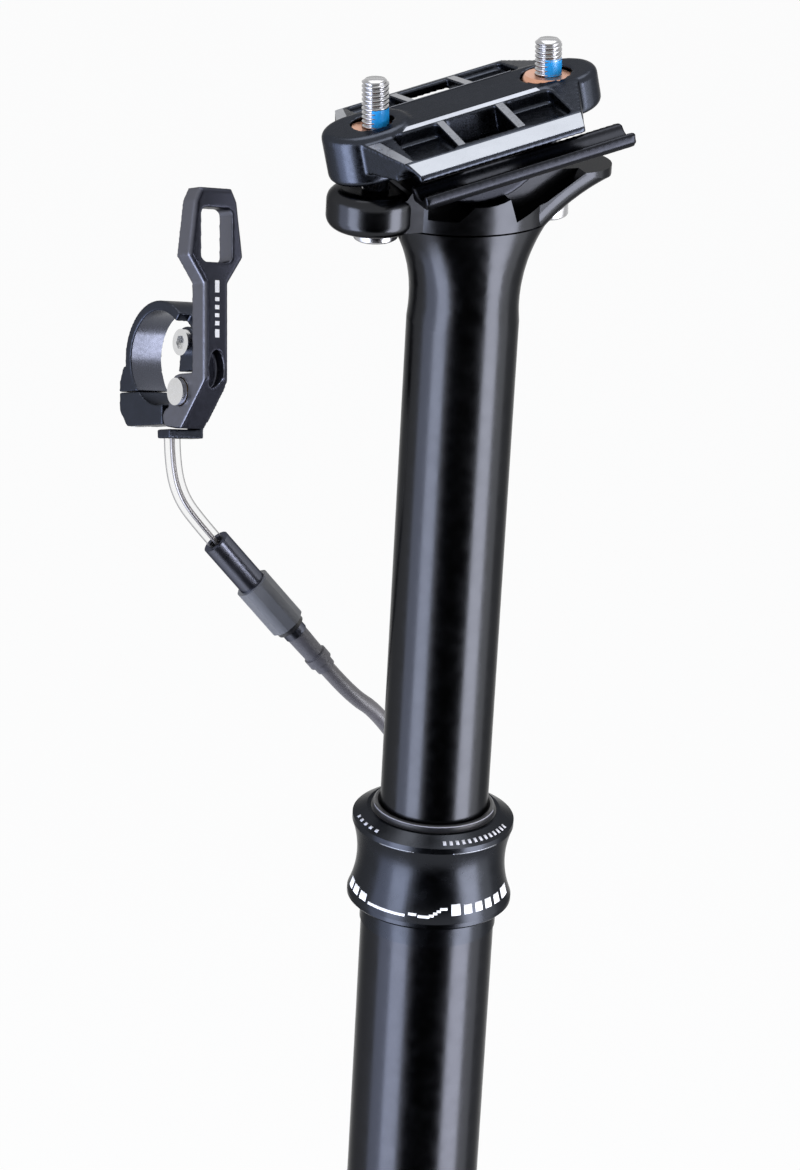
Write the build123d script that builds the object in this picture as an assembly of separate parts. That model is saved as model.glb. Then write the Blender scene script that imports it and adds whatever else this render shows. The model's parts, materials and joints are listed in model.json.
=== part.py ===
from build123d import *
import math
import os

# A dropper seatpost, in millimetres. +Z runs up the post and the origin is where the
# outer tube leaves the seal collar. +X points to the rear of the bicycle.

# Shared clearances and helpers
running_gap = 0.05
thread_gap = 0.04
seat_gap = 0.3
cut_over = 60.0
edge_round = 0.6
full_turn = 360.0

# Post tubes
outer_radius = 15.8
outer_wall = 1.7
outer_length = 205.0
stanchion_radius = 12.7
stanchion_wall = 1.5
stanchion_overlap = 68.0
travel = 125.0

# Guide keys between the two tubes
key_count = 3
key_turn = 60.0
key_width = 2.4
key_length = 18.0
key_depth = 0.6
key_rise = 8.0

# Seal collar, wiper and the bearing that it holds
collar_socket = 12.0
collar_spigot_step = 0.5
collar_foot_radius = 16.1
collar_low_radius = 19.4
collar_low_height = 5.9
collar_band = 1.6
collar_waist_radius = 17.5
collar_waist_height = 16.2
collar_rim_radius = 19.0
collar_rim_height = 25.5
collar_rim_band = 1.4
collar_shoulder_radius = 15.7
collar_height = 28.9
bearing_wall = 1.45
wiper_pocket_radius = 14.8
wiper_depth = 3.6
wiper_lip_radius = 14.3
wiper_lip_rise = 1.5
wiper_lip_width = 1.0
wiper_relief = 0.5
seal_ring_section = 0.5
seal_ring_height = 7.0

# Gas spring inside the stanchion
rod_radius = 5.0
rod_bore = 1.8
cylinder_radius = 10.6
cylinder_wall = 1.4
cylinder_cap = 4.0
gland_length = 10.0
bumper_length = 3.7
bumper_inset = 0.6
piston_length = 8.0
piston_ring_width = 2.0
piston_ring_depth = 1.0
piston_gap = 0.3
retainer_length = 8.0
retainer_bore = 6.0
stroke_spare = 3.0
release_pin_radius = 1.7
bushing_length = 6.0

# Actuator at the foot of the outer tube
plug_length = 11.0
flange_height = 3.0
flange_inset = 0.3
skirt_radius = 14.6
skirt_wall = 2.4
skirt_length = 23.0
rod_nut_height = 6.0
rod_nut_width = 17.0
rocker_drop = 14.5
rocker_pivot_x = 3.5
rocker_arm = 7.0
rocker_half_height = 2.0
rocker_half_width = 2.5
rocker_nose_radius = 2.2
rocker_nose_rise = 0.8
rocker_pin_radius = 1.5
wire_barrel_radius = 1.9
barrel_wall = 0.6
wire_radius = 0.6
slot_half_width = 3.3
stop_height = 6.0
stop_half_width = 4.4
stop_socket = 3.0
wire_end_drop = 4.5

# Head of the stanchion
clamp_centre_x = -2.5
clamp_centre_z = 197.0
clamp_tilt = -13.5
trough_radius = 17.3
neck_low = 150.0
neck_mid = 163.0
neck_top = 173.0
neck_mid_half_length = 13.5
neck_mid_half_width = 12.9
neck_top_half_length = 18.4
neck_top_half_width = 13.4
bore_top = 146.0
head_front_top = 182.4
head_rear_top = 185.0
ear_bottom = 172.4
ear_top = 181.8
ear_radius = 10.2
ear_round = 3.0
ear_neck_half = 8.4
ear_neck_inset = 1.0
rear_end = 33.2
rear_end_low = 183.4
rear_bow_x = 21.4
rear_bow_z = 177.0
arm_root_x = 12.4
arm_root_z = 168.0
arm_round = 5.0
rear_half_width = 9.6
rear_web_half = 5.4
ramp_foot_x = 6.2
ramp_foot_z = 175.6
ramp_middle_x = 14.6
ramp_middle_z = 178.9
ramp_end_x = 24.4
ramp_side_x = 2.6
side_pocket_start = -13.6
side_pocket_end = -7.4
side_pocket_foot = 176.4
side_pocket_top_x = -3.2
side_pocket_top_z = 180.8
bolt_lean = 3.0
front_bolt = -21.3
rear_bolt = 20.3
front_seat_z = 176.6
rear_seat_z = 179.4
bolt_radius = 3.0
bolt_hole_gap = 0.35
front_bolt_above = 14.4
rear_bolt_above = 11.6
bolt_end_chamfer = 0.5
bolt_head_radius = 5.0
bolt_head_height = 5.0
bolt_socket_width = 5.0
bolt_socket_depth = 2.6
bolt_head_gap = 0.8
washer_radius = 5.6
washer_height = 1.6

# Saddle clamp, in its own frame about the centre of its arc
rail_radius = 3.5
rail_half_spacing = 22.0
rail_drop = 3.5
boss_half_width = 8.8
boss_nose = 2.8
front_boss_top = 4.9
front_boss_bottom = -6.5
rear_boss_top = 3.7
rear_boss_bottom = -5.0
boss_round = 1.6
nut_radius = 6.3
nut_slack = 0.4
nut_half_height = 3.6
bolt_slot_half = 5.0
bolt_slot_half_width = 3.5
wing_overhang = 3.8
wing_nose = -27.0
wing_front = -22.4
wing_rear = 19.2
wing_tail = 24.6
wing_edge_top = -0.5
wing_edge_bottom = -1.9
wing_top = 1.5
wing_crown = 3.6
wing_flat_inset = 4.2
wing_corner = 1.4
ridge_top = 4.0
ridge_half_width = 7.0
ridge_foot = 8.2
spine_bottom = -3.2
spine_inset = 4.0
pocket_depth = 1.4
pocket_front = -20.0
pocket_middle = -9.6
pocket_rear_start = 6.4
pocket_rear_end = 17.4
pocket_inner = 8.2
pocket_inset = 1.4
pocket_corner = 1.5
window_start = -7.8
window_end = 4.4
window_inner = 8.2
window_inset = 2.2
cradle_front = -20.8
cradle_rear = 29.0
cradle_overhang = 0.4
cradle_rail_reach = 4.6
cradle_lip = -5.2
cradle_bottom = -8.8
cradle_web_top = -6.9
cradle_web_front = -16.2
cradle_web_rear = 14.6
cradle_corner = 1.6
cradle_boss_half_width = 11.0
cradle_boss_half_length = 12.6

# Remote in its own frame: x from the bar to the lever's face, y up the lever and
# z along the bar
bar_radius = 11.1
band_wall = 2.3
band_half = 4.5
bracket_relief = 0.8
remote_place = (-46.5, 62.8, 122.8)
remote_heading = -22.7
remote_lean = 22.0
remote_roll = -3.14
bar_turn = 52.0
hinge_x = 14.3
hinge_y = 2.8
hinge_eye_radius = 3.6
hinge_boss_radius = 3.7
hinge_pin_radius = 1.6
hinge_face = 6.4
hinge_eye_low = -1.4
hinge_eye_top = 1.2
screw_head_radius = 3.1
screw_head_height = 1.5
screw_socket_width = 3.0
screw_socket_depth = 1.0
band_start_angle = 47.0
band_eye_angle = 8.0
band_end_angle = 225.0
ring_join_angle = 210.0
ring_narrow_angle = 260.0
ring_last_angle = 365.0
lug_outer = 15.8
lug_corner = 1.6
lug_slope = 3.6
lug_inner = 10.8
lug_bottom = -7.55
lug_top = -1.6
lug_slot = 1.3
clamp_screw_x = -13.6
clamp_screw_radius = 1.25
clamp_screw_head = 2.3
clamp_screw_head_height = 2.2
clamp_screw_tip = -4.3
block_left = -15.8
block_right = 2.0
block_bottom = -15.8
block_shoulder = -12.0
block_toe = -12.8
block_top = -7.7
web_face = 0.2
web_back = -2.4
web_right = 18.0
web_low = -15.6
web_heel = 2.0
web_toe = 11.0
web_shoulder = -7.6
plate_low = -3.9
plate_high = -1.4
pivot_x = 13.2
pivot_y = -8.6
pivot_radius = 2.2
pivot_sleeve_wall = 0.9
pivot_cap_radius = 3.2
pivot_cap_height = 1.2
pivot_root = -2.0
lever_face = 23.6
lever_thickness = 5.4
lever_centre = 4.0
lever_neck_half = 3.4
lever_paddle_half = 7.7
lever_top = 38.2
lever_top_half = 6.0
lever_top_corner = 3.0
lever_wide = 22.4
lever_taper = 16.2
lever_hub_radius = 4.2
lever_chin = -5.9
lever_toe_x = 13.8
lever_heel_x = 11.4
lever_bottom = -17.1
lever_chamfer = 0.7
lever_window_low = 21.0
lever_window_high = 33.6
lever_window_half = 4.3
lever_window_corner = 1.6
lever_oval_y = -3.6
lever_oval_half_width = 2.0
lever_oval_half_height = 4.3
lever_oval_depth = 3.0
anchor_x = 8.6
anchor_y = -14.4
anchor_centre = 6.2
anchor_radius = 2.3
nipple_radius = 1.6
nipple_cover = 0.5
stop_top = -17.2
stop_bottom = -19.3
stop_half = 2.6
stop_front = 8.7
stop_back = -1.0
liner_socket_depth = 1.8

# Cable: clear liner, joint and housing. The route points are chosen by hand.
liner_radius = 1.95
liner_bore = 0.9
joint_socket_depth = 3.5
joint_radius = 3.35
joint_length = 14.0
joint_stud_radius = 2.6
adjuster_flats = 8.4
adjuster_length = 13.6
adjuster_corner = 0.16
adjuster_ring_radius = 3.6
adjuster_ring_length = 1.4
step_radius = 2.9
step_length = 2.2
step_nose_radius = 2.4
boot_radius = 2.7
boot_tip_radius = 2.4
boot_rib_radius = 2.95
boot_rib_length = 2.4
boot_rib_share = 0.62
boot_lead = 10.0
joint_start = (-42.5, 39.5, 84.8)
joint_end = (-15.2, 34.5, 51.9)
liner_lead = 5.4
liner_points = [(-50.9, 41.9, 95.9)]
housing_radius = 2.0
ferrule_radius = 2.55
ferrule_length = 10.0
housing_points = [
    (-1.3, 34.7, 38.7),
    (10.8, 35.1, 21.5),
    (14.8, 35.0, 1.0),
    (14.7, 35.1, -36.0),
    (12.5, 37.7, -76.0),
    (-2.8, 47.8, -106.0),
]
housing_lead = 18.0
return_points = [
    (-13.6, 40.6, -211.0),
    (-12.6, 39.8, -238.0),
    (-11.0, 38.2, -262.4),
    (-4.7, 27.0, -275.4),
    (4.2, 11.2, -275.4),
]
return_rise = 18.4
return_lead = 20.0
coil_inner_radius = 19.4
coil_pitch = 4.7
coil_wide_step = 3.3
coil_layers = 4
coil_layer_half_turns = 3
coil_depth = 46.0
coil_height = -160.0
coil_facing = -22.7
coil_tail = 4.0
gap_samples = 24
tie_wall = 1.0
tie_width = 5.0
tie_gap = 0.35
run_share = 0.45

# Places that follow from the sizes above
tube_bore = outer_radius - outer_wall
spigot_radius = outer_radius - collar_spigot_step
socket_radius = spigot_radius + running_gap
stanchion_bore = stanchion_radius - stanchion_wall
cylinder_bore = cylinder_radius - cylinder_wall
stanchion_foot = -stanchion_overlap
cylinder_foot = stanchion_foot + retainer_length
gland_top = cylinder_foot + gland_length
bumper_top = gland_top + bumper_length
piston_foot = bumper_top + piston_gap
piston_top = piston_foot + piston_length
cylinder_top = piston_top + travel + stroke_spare + cylinder_cap
plug_top = plug_length - outer_length
flange_bottom = -outer_length - flange_height
skirt_bottom = flange_bottom - skirt_length
rocker_z = flange_bottom - rocker_drop
stop_x = rocker_pivot_x + rocker_arm
stop_floor = skirt_bottom - stop_height
ferrule_top = stop_floor + stop_socket
ferrule_bottom = ferrule_top - ferrule_length
wing_half_width = rail_half_spacing + wing_overhang
wing_flat_half = wing_half_width - wing_flat_inset
spine_half_width = rail_half_spacing - spine_inset
pocket_outer = rail_half_spacing - pocket_inset
window_outer = rail_half_spacing - window_inset
cradle_rail_inner = rail_half_spacing - cradle_rail_reach
cradle_half_width = wing_half_width + cradle_overhang


def tube(outer, inner, low, high):
    """A round tube on the post's axis from low to high."""
    place = Pos(0, 0, (low + high) / 2)
    shape = place * Cylinder(outer, high - low)
    if inner > 0:
        shape -= place * Cylinder(inner, high - low + cut_over)
    return shape


def rod_between(start, end, radius):
    """A round rod from one point to another."""
    run = Vector(*end) - Vector(*start)
    return extrude(Plane(origin=start, z_dir=run) * Circle(radius), amount=run.length)


def turned(points):
    """A ring turned about the post's axis from an outline of radius and height."""
    return revolve(Plane.XZ * make_face(Polyline(*points, close=True)), Axis.Z)


def box_between(low, high):
    """A box from its lowest to its highest corner."""
    size = [top - bottom for bottom, top in zip(low, high)]
    centre = [(top + bottom) / 2 for bottom, top in zip(low, high)]
    return Pos(*centre) * Box(*size)


def prism(points, low, high):
    """A block with an outline in X and Y from low to high in Z."""
    face = make_face(Polyline(*points, close=True))
    return extrude(Pos(0, 0, low) * face, amount=high - low)


def side_block(points, half_width):
    """A block with its outline seen from the side and a width across the post."""
    face = make_face(Polyline(*points, close=True))
    return extrude(Plane.XZ * face, amount=half_width, both=True)


def cross_rod(x, z, radius, half_width):
    """A round rod across the post at a place seen from the side."""
    return Pos(x, 0, z) * Rot(full_turn / 4, 0, 0) * Cylinder(radius, 2 * half_width)


def sector(radius, start, end):
    """A wide wedge between two angles, to cut a ring with."""
    steps = 4
    angles = [math.radians(start + (end - start) * step / steps) for step in range(steps + 1)]
    return [(0, 0)] + [(radius * math.cos(angle), radius * math.sin(angle)) for angle in angles]


def ring_part(start, end, low, high):
    """A part of the remote's ring round the bar between two angles."""
    ring = tube(bar_radius + band_wall, bar_radius, low, high)
    return ring & prism(sector(cut_over, start, end), low, high)


# Frames of the saddle clamp, of its bolts and of the remote
tilt = math.radians(clamp_tilt)
clamp_x_dir = Vector(math.cos(tilt), 0, -math.sin(tilt))
clamp_frame = Plane(
    origin=(clamp_centre_x, 0, clamp_centre_z),
    x_dir=clamp_x_dir,
    z_dir=(math.sin(tilt), 0, math.cos(tilt)),
)
bolt_direction = Vector(-math.sin(math.radians(bolt_lean)), 0, math.cos(math.radians(bolt_lean)))


def bolt_frame(along):
    """The frame of a clamp bolt, with its origin at the centre of its nut."""
    return Plane(origin=clamp_frame.origin + clamp_x_dir * along, z_dir=bolt_direction)


def seat_depth(along, seat_z):
    """How far the bolt's seat lies under the centre of its nut."""
    return (bolt_frame(along).origin.Z - seat_z) / bolt_direction.Z


def remote_axes():
    """The remote's directions away from the bar, up the lever and along the bar."""
    turn = math.radians(remote_heading)
    lean = math.radians(remote_lean)
    roll = math.radians(remote_roll)
    swing = math.radians(bar_turn)
    level = Vector(math.cos(turn), math.sin(turn), 0)
    facing = Vector(
        math.sin(turn) * math.cos(lean), -math.cos(turn) * math.cos(lean), math.sin(lean)
    )
    upright = facing.cross(level)
    right = level * math.cos(roll) - upright * math.sin(roll)
    away = right * math.cos(swing) + facing * math.sin(swing)
    along = facing * math.cos(swing) - right * math.sin(swing)
    return away, along


remote_away, remote_along = remote_axes()
remote_frame = Plane(origin=remote_place, x_dir=remote_away, z_dir=remote_along)


def remote_point(x, y, z):
    """A point of the remote's frame in the part's frame."""
    return tuple(remote_frame.from_local_coords(Vector(x, y, z)))


def key_blocks(width, inner, outer, low, high):
    """Blocks round the post, one for each guide key."""
    block = box_between((inner, -width / 2, low), (outer, width / 2, high))
    return [Rot(0, 0, key_turn + full_turn / key_count * index) * block for index in range(key_count)]


def make_outer_tube():
    body = tube(outer_radius, tube_bore, -outer_length, 0)
    body += tube(spigot_radius, tube_bore, 0, collar_socket - running_gap)
    wide = key_width + 2 * running_gap
    outer = tube_bore + key_depth + running_gap
    low = plug_top + running_gap
    for groove in key_blocks(wide, tube_bore - key_depth, outer, low, -key_rise):
        body -= groove
    return body


def make_seal_collar():
    socket = socket_radius
    bearing_pocket = stanchion_radius + bearing_wall + 2 * running_gap
    shelf = stanchion_radius + wiper_relief
    pocket_floor = collar_height - wiper_depth
    bearing_top = pocket_floor - wiper_lip_width
    groove = seal_ring_section + running_gap
    low_top = collar_low_height + collar_band
    outline = [
        Polyline(
            (socket, 0),
            (collar_foot_radius, 0),
            (collar_foot_radius, collar_low_height),
            (collar_low_radius - edge_round, collar_low_height),
            (collar_low_radius, collar_low_height + edge_round),
            (collar_low_radius, low_top),
        ),
        ThreePointArc(
            (collar_low_radius, low_top),
            (collar_waist_radius, collar_waist_height),
            (collar_rim_radius, collar_rim_height),
        ),
        Polyline(
            (collar_rim_radius, collar_rim_height),
            (collar_rim_radius, collar_rim_height + collar_rim_band),
            (collar_shoulder_radius, collar_height),
            (wiper_pocket_radius, collar_height),
            (wiper_pocket_radius, pocket_floor),
            (shelf, pocket_floor),
            (shelf, bearing_top),
            (bearing_pocket, bearing_top),
            (bearing_pocket, collar_socket),
            (socket, collar_socket),
            (socket, seal_ring_height + groove),
            (socket + 2 * seal_ring_section, seal_ring_height + groove),
            (socket + 2 * seal_ring_section, seal_ring_height - groove),
            (socket, seal_ring_height - groove),
            (socket, 0),
        ),
    ]
    return revolve(Plane.XZ * make_face(outline), Axis.Z)


def make_collar_bearing():
    top = collar_height - wiper_depth - wiper_lip_width - running_gap
    return tube(stanchion_radius + bearing_wall, stanchion_radius + running_gap, collar_socket, top)


def make_seal_ring():
    centre = socket_radius + seal_ring_section
    return Pos(0, 0, seal_ring_height) * Torus(centre, seal_ring_section)


def make_wiper_seal():
    touch = stanchion_radius + running_gap
    outer = wiper_pocket_radius - running_gap
    floor = collar_height - wiper_depth
    top = collar_height + wiper_lip_rise
    return turned(
        [
            (outer, floor),
            (outer, collar_height),
            (wiper_lip_radius, collar_height),
            (wiper_lip_radius, top - wiper_relief),
            (wiper_lip_radius - wiper_relief, top),
            (wiper_lip_radius - wiper_lip_width, top),
            (touch, top - wiper_relief),
            (touch, collar_height),
            (touch + wiper_relief, collar_height - wiper_lip_rise),
            (touch + wiper_relief, floor),
        ]
    )


def make_guide_keys():
    low = stanchion_foot + key_rise
    inner = stanchion_radius - key_depth
    outer = tube_bore + key_depth
    return Compound(children=key_blocks(key_width, inner, outer, low, low + key_length))


def make_lower_bushing():
    outer = tube_bore - running_gap
    inner = stanchion_radius + thread_gap
    return tube(outer, inner, stanchion_foot, stanchion_foot + bushing_length)


def make_neck():
    """The flare from the round stanchion to the head."""
    return loft(
        [
            Pos(0, 0, neck_low) * Circle(stanchion_radius),
            Pos(0, 0, neck_mid) * Ellipse(neck_mid_half_length, neck_mid_half_width),
            Pos(0, 0, neck_top) * Ellipse(neck_top_half_length, neck_top_half_width),
        ]
    )


def make_head_block():
    """The saddle of the head with its front ear and its rear arm."""
    front_x = bolt_frame(front_bolt).origin.X
    low = ear_bottom + ear_neck_inset
    rear_round_x = rear_end - rear_half_width
    plan = Ellipse(neck_top_half_length, neck_top_half_width)
    plan += Pos(front_x / 2, 0) * Rectangle(-front_x, 2 * ear_neck_half)
    outline = [
        (neck_top_half_length, low),
        (-ear_radius + front_x, low),
        (-ear_radius + front_x, ear_top - ear_neck_inset),
        (-neck_top_half_length, ear_top - ear_neck_inset),
        (-neck_top_half_length + ear_neck_inset, head_front_top),
        (clamp_centre_x, head_front_top),
        (clamp_centre_x, head_rear_top),
        (neck_top_half_length, head_rear_top),
    ]
    block = side_block(outline, neck_top_half_width)
    block &= extrude(Pos(0, 0, neck_mid) * plan, amount=cut_over)
    rear_plan = Pos(rear_round_x / 2, 0) * Rectangle(rear_round_x, 2 * rear_half_width)
    rear_plan += Pos(rear_round_x, 0) * Circle(rear_half_width)
    return block + (make_rear_arm() & extrude(Pos(0, 0, neck_mid) * rear_plan, amount=cut_over))


def make_rear_arm():
    """The arm that sweeps up to the rear bolt, rounded below."""
    outline = [
        Polyline(
            (rear_end, rear_end_low),
            (rear_end, head_rear_top),
            (0, head_rear_top),
            (0, arm_root_z),
            (arm_root_x, arm_root_z),
        ),
        ThreePointArc((arm_root_x, arm_root_z), (rear_bow_x, rear_bow_z), (rear_end, rear_end_low)),
    ]
    arm = extrude(Plane.XZ * make_face(outline), amount=rear_half_width, both=True)
    bow = arm.edges().filter_by(GeomType.CIRCLE)
    return fillet(bow, arm_round)


def make_ear():
    """The rounded boss that the front bolt pulls against."""
    centre = bolt_frame(front_bolt).origin.X
    ear = Pos(centre, 0, (ear_top + ear_bottom) / 2) * Cylinder(ear_radius, ear_top - ear_bottom)
    return fillet(ear.edges().filter_by(GeomType.CIRCLE), ear_round)


def bolt_cuts(along, seat_z):
    """The hole for a clamp bolt and the seat for its head, cut from below."""
    depth = seat_depth(along, seat_z)
    hole = Cylinder(bolt_radius + bolt_hole_gap, cut_over)
    seat = Pos(0, 0, -depth - cut_over / 2) * Cylinder(bolt_head_radius + bolt_head_gap, cut_over)
    return bolt_frame(along).location * (hole + seat)


def make_head_pockets():
    """The open recesses beside the web, behind and in front of the gusset."""
    half = neck_top_half_width + rear_half_width
    over = head_rear_top + edge_round
    rear = [
        (ramp_foot_x, ramp_foot_z),
        (ramp_middle_x, ramp_middle_z),
        (ramp_end_x, over),
        (ramp_side_x, over),
    ]
    front = [
        (side_pocket_start, side_pocket_foot),
        (side_pocket_end, side_pocket_foot),
        (side_pocket_top_x, side_pocket_top_z),
        (side_pocket_top_x, over),
        (side_pocket_start, over),
    ]
    pockets = side_block(rear, half) + side_block(front, half)
    return pockets - side_block(rear, rear_web_half) - side_block(front, rear_web_half)


def make_stanchion():
    foot = tube(stanchion_radius, 0, stanchion_foot, neck_low)
    body = foot + make_neck() + make_head_block() + make_ear()
    body -= cross_rod(clamp_centre_x, clamp_centre_z, trough_radius, cut_over)
    body -= make_head_pockets()
    body -= bolt_cuts(front_bolt, front_seat_z)
    body -= bolt_cuts(rear_bolt, rear_seat_z)
    body -= tube(stanchion_bore, 0, stanchion_foot - key_rise, bore_top)
    low = stanchion_foot + key_rise
    inner = stanchion_radius - key_depth - running_gap
    wide = key_width + 2 * running_gap
    outer = stanchion_radius + key_depth
    for pocket in key_blocks(wide, inner, outer, low - running_gap, low + key_length + running_gap):
        body -= pocket
    return body


def make_retainer():
    return tube(stanchion_bore - thread_gap, retainer_bore, stanchion_foot, cylinder_foot)


def make_gas_cylinder():
    body = tube(cylinder_radius, 0, cylinder_foot, cylinder_top)
    return body - tube(cylinder_bore, 0, cylinder_foot - key_rise, cylinder_top - cylinder_cap)


def make_cylinder_gland():
    return tube(cylinder_bore - thread_gap, rod_radius + running_gap, cylinder_foot, gland_top)


def make_top_out_bumper():
    return tube(cylinder_bore - bumper_inset, rod_radius + running_gap, gland_top, bumper_top)


def make_spring_rod():
    return tube(rod_radius, rod_bore, flange_bottom - rod_nut_height, piston_foot + piston_length / 2)


def make_piston():
    outer = cylinder_bore - running_gap
    body = tube(outer, 0, piston_foot, piston_top)
    body -= tube(rod_radius + thread_gap, 0, piston_foot - key_rise, piston_foot + piston_length / 2)
    middle = (piston_foot + piston_top) / 2
    low = middle - piston_ring_width / 2
    high = middle + piston_ring_width / 2
    return body - tube(outer + piston_ring_width, outer - piston_ring_depth, low, high)


def make_piston_ring():
    middle = (piston_foot + piston_top) / 2
    half = piston_ring_width / 2 - running_gap
    inner = cylinder_bore - piston_ring_depth
    return tube(cylinder_bore - running_gap, inner, middle - half, middle + half)


def make_release_pin():
    foot = rocker_z + rocker_nose_rise + rocker_nose_radius + running_gap
    return tube(release_pin_radius, 0, foot, piston_foot)


def make_actuator_housing():
    plug = tube(tube_bore - thread_gap, rod_radius + thread_gap, -outer_length, plug_top)
    flange = tube(outer_radius - flange_inset, rod_radius + thread_gap, flange_bottom, -outer_length)
    skirt = tube(skirt_radius, skirt_radius - skirt_wall, skirt_bottom, flange_bottom)
    lug = box_between(
        (stop_x - stop_half_width, -stop_half_width, stop_floor),
        (stop_x + stop_half_width, stop_half_width, skirt_bottom),
    )
    lug &= tube(skirt_radius, 0, stop_floor, skirt_bottom)
    body = plug + flange + skirt + lug
    body -= box_between(
        (0, -slot_half_width, skirt_bottom),
        (2 * skirt_radius, slot_half_width, rocker_z + 2 * slot_half_width),
    )
    body -= cross_rod(rocker_pivot_x, rocker_z, rocker_pin_radius + thread_gap, cut_over)
    body -= rod_between((stop_x, 0, stop_floor), (stop_x, 0, skirt_bottom), wire_radius + seat_gap)
    body -= rod_between((stop_x, 0, stop_floor), (stop_x, 0, ferrule_top), ferrule_radius + running_gap)
    return body


def make_rod_nut():
    height = rod_nut_height
    nut = extrude(
        Pos(0, 0, flange_bottom - height) * RegularPolygon(rod_nut_width / 2, 6, major_radius=False),
        amount=height,
    )
    return nut - Pos(0, 0, flange_bottom - height / 2) * Cylinder(rod_radius + thread_gap, 2 * height)


def make_rocker():
    anchor = cross_rod(stop_x, rocker_z, wire_barrel_radius + barrel_wall, rocker_half_width)
    nose = cross_rod(0, rocker_z + rocker_nose_rise, rocker_nose_radius, rocker_half_width)
    bar = box_between(
        (0, -rocker_half_width, rocker_z - rocker_half_height),
        (stop_x, rocker_half_width, rocker_z + rocker_half_height),
    )
    hub = cross_rod(rocker_pivot_x, rocker_z, 2 * rocker_pin_radius, rocker_half_width)
    body = bar + hub + nose + anchor
    body -= cross_rod(rocker_pivot_x, rocker_z, rocker_pin_radius + running_gap, cut_over)
    return body - cross_rod(stop_x, rocker_z, wire_barrel_radius + running_gap, cut_over)


def make_rocker_pin():
    reach = math.sqrt(skirt_radius**2 - (rocker_pivot_x + rocker_pin_radius) ** 2)
    return cross_rod(rocker_pivot_x, rocker_z, rocker_pin_radius, reach - seat_gap)


def make_wire_barrel():
    return cross_rod(stop_x, rocker_z, wire_barrel_radius, rocker_half_width)


def make_wire_end():
    return rod_between((stop_x, 0, ferrule_top), (stop_x, 0, rocker_z - wire_end_drop), wire_radius)


def make_stop_ferrule():
    return rod_between((stop_x, 0, ferrule_bottom), (stop_x, 0, ferrule_top), ferrule_radius)


def hex_socket(width, depth, top):
    """A hexagonal hole down from the top of a screw head."""
    face = Pos(0, 0, top - depth) * RegularPolygon(width / 2, 6, major_radius=False)
    return extrude(face, amount=depth + running_gap)


def make_clamp_bolt(along, seat_z, above):
    depth = seat_depth(along, seat_z) + washer_height
    length = depth + above
    shank = Pos(0, 0, length / 2 - depth) * Cylinder(bolt_radius, length)
    shank = chamfer(shank.edges().sort_by(Axis.Z)[-1], bolt_end_chamfer)
    head = Pos(0, 0, -depth - bolt_head_height / 2) * Cylinder(bolt_head_radius, bolt_head_height)
    bolt = shank + head
    socket = Rot(full_turn / 2, 0, 0) * hex_socket(
        bolt_socket_width, bolt_socket_depth, depth + bolt_head_height
    )
    return bolt_frame(along).location * (bolt - socket)


def make_clamp_bolts():
    return Compound(
        children=[
            make_clamp_bolt(front_bolt, front_seat_z, front_bolt_above),
            make_clamp_bolt(rear_bolt, rear_seat_z, rear_bolt_above),
        ]
    )


def make_bolt_washer(along, seat_z):
    middle = seat_depth(along, seat_z) + washer_height / 2
    ring = Cylinder(washer_radius, washer_height) - Cylinder(bolt_radius + thread_gap, washer_height)
    return bolt_frame(along).location * Pos(0, 0, -middle) * ring


def make_bolt_washers():
    return Compound(
        children=[make_bolt_washer(front_bolt, front_seat_z), make_bolt_washer(rear_bolt, rear_seat_z)]
    )


def make_nut(along):
    ball = Sphere(nut_radius) & Box(4 * nut_radius, 4 * nut_radius, 2 * nut_half_height)
    ball -= Cylinder(bolt_radius + thread_gap, 4 * nut_radius)
    return bolt_frame(along).location * ball


def rail_grooves():
    """The two saddle rails' places, as round bars to cut with."""
    bar = Rot(0, full_turn / 4, 0) * Cylinder(rail_radius, 2 * cut_over)
    return [Pos(0, side * rail_half_spacing, -rail_drop) * bar for side in (-1, 1)]


def wing_pocket(start, end, low, high):
    """A rounded pocket in the top of a wing."""
    middle_x = (start + end) / 2
    middle_y = (low + high) / 2
    face = RectangleRounded(end - start, high - low, pocket_corner)
    return extrude(Pos(middle_x, middle_y, wing_top - pocket_depth) * face, amount=cut_over)


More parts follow.
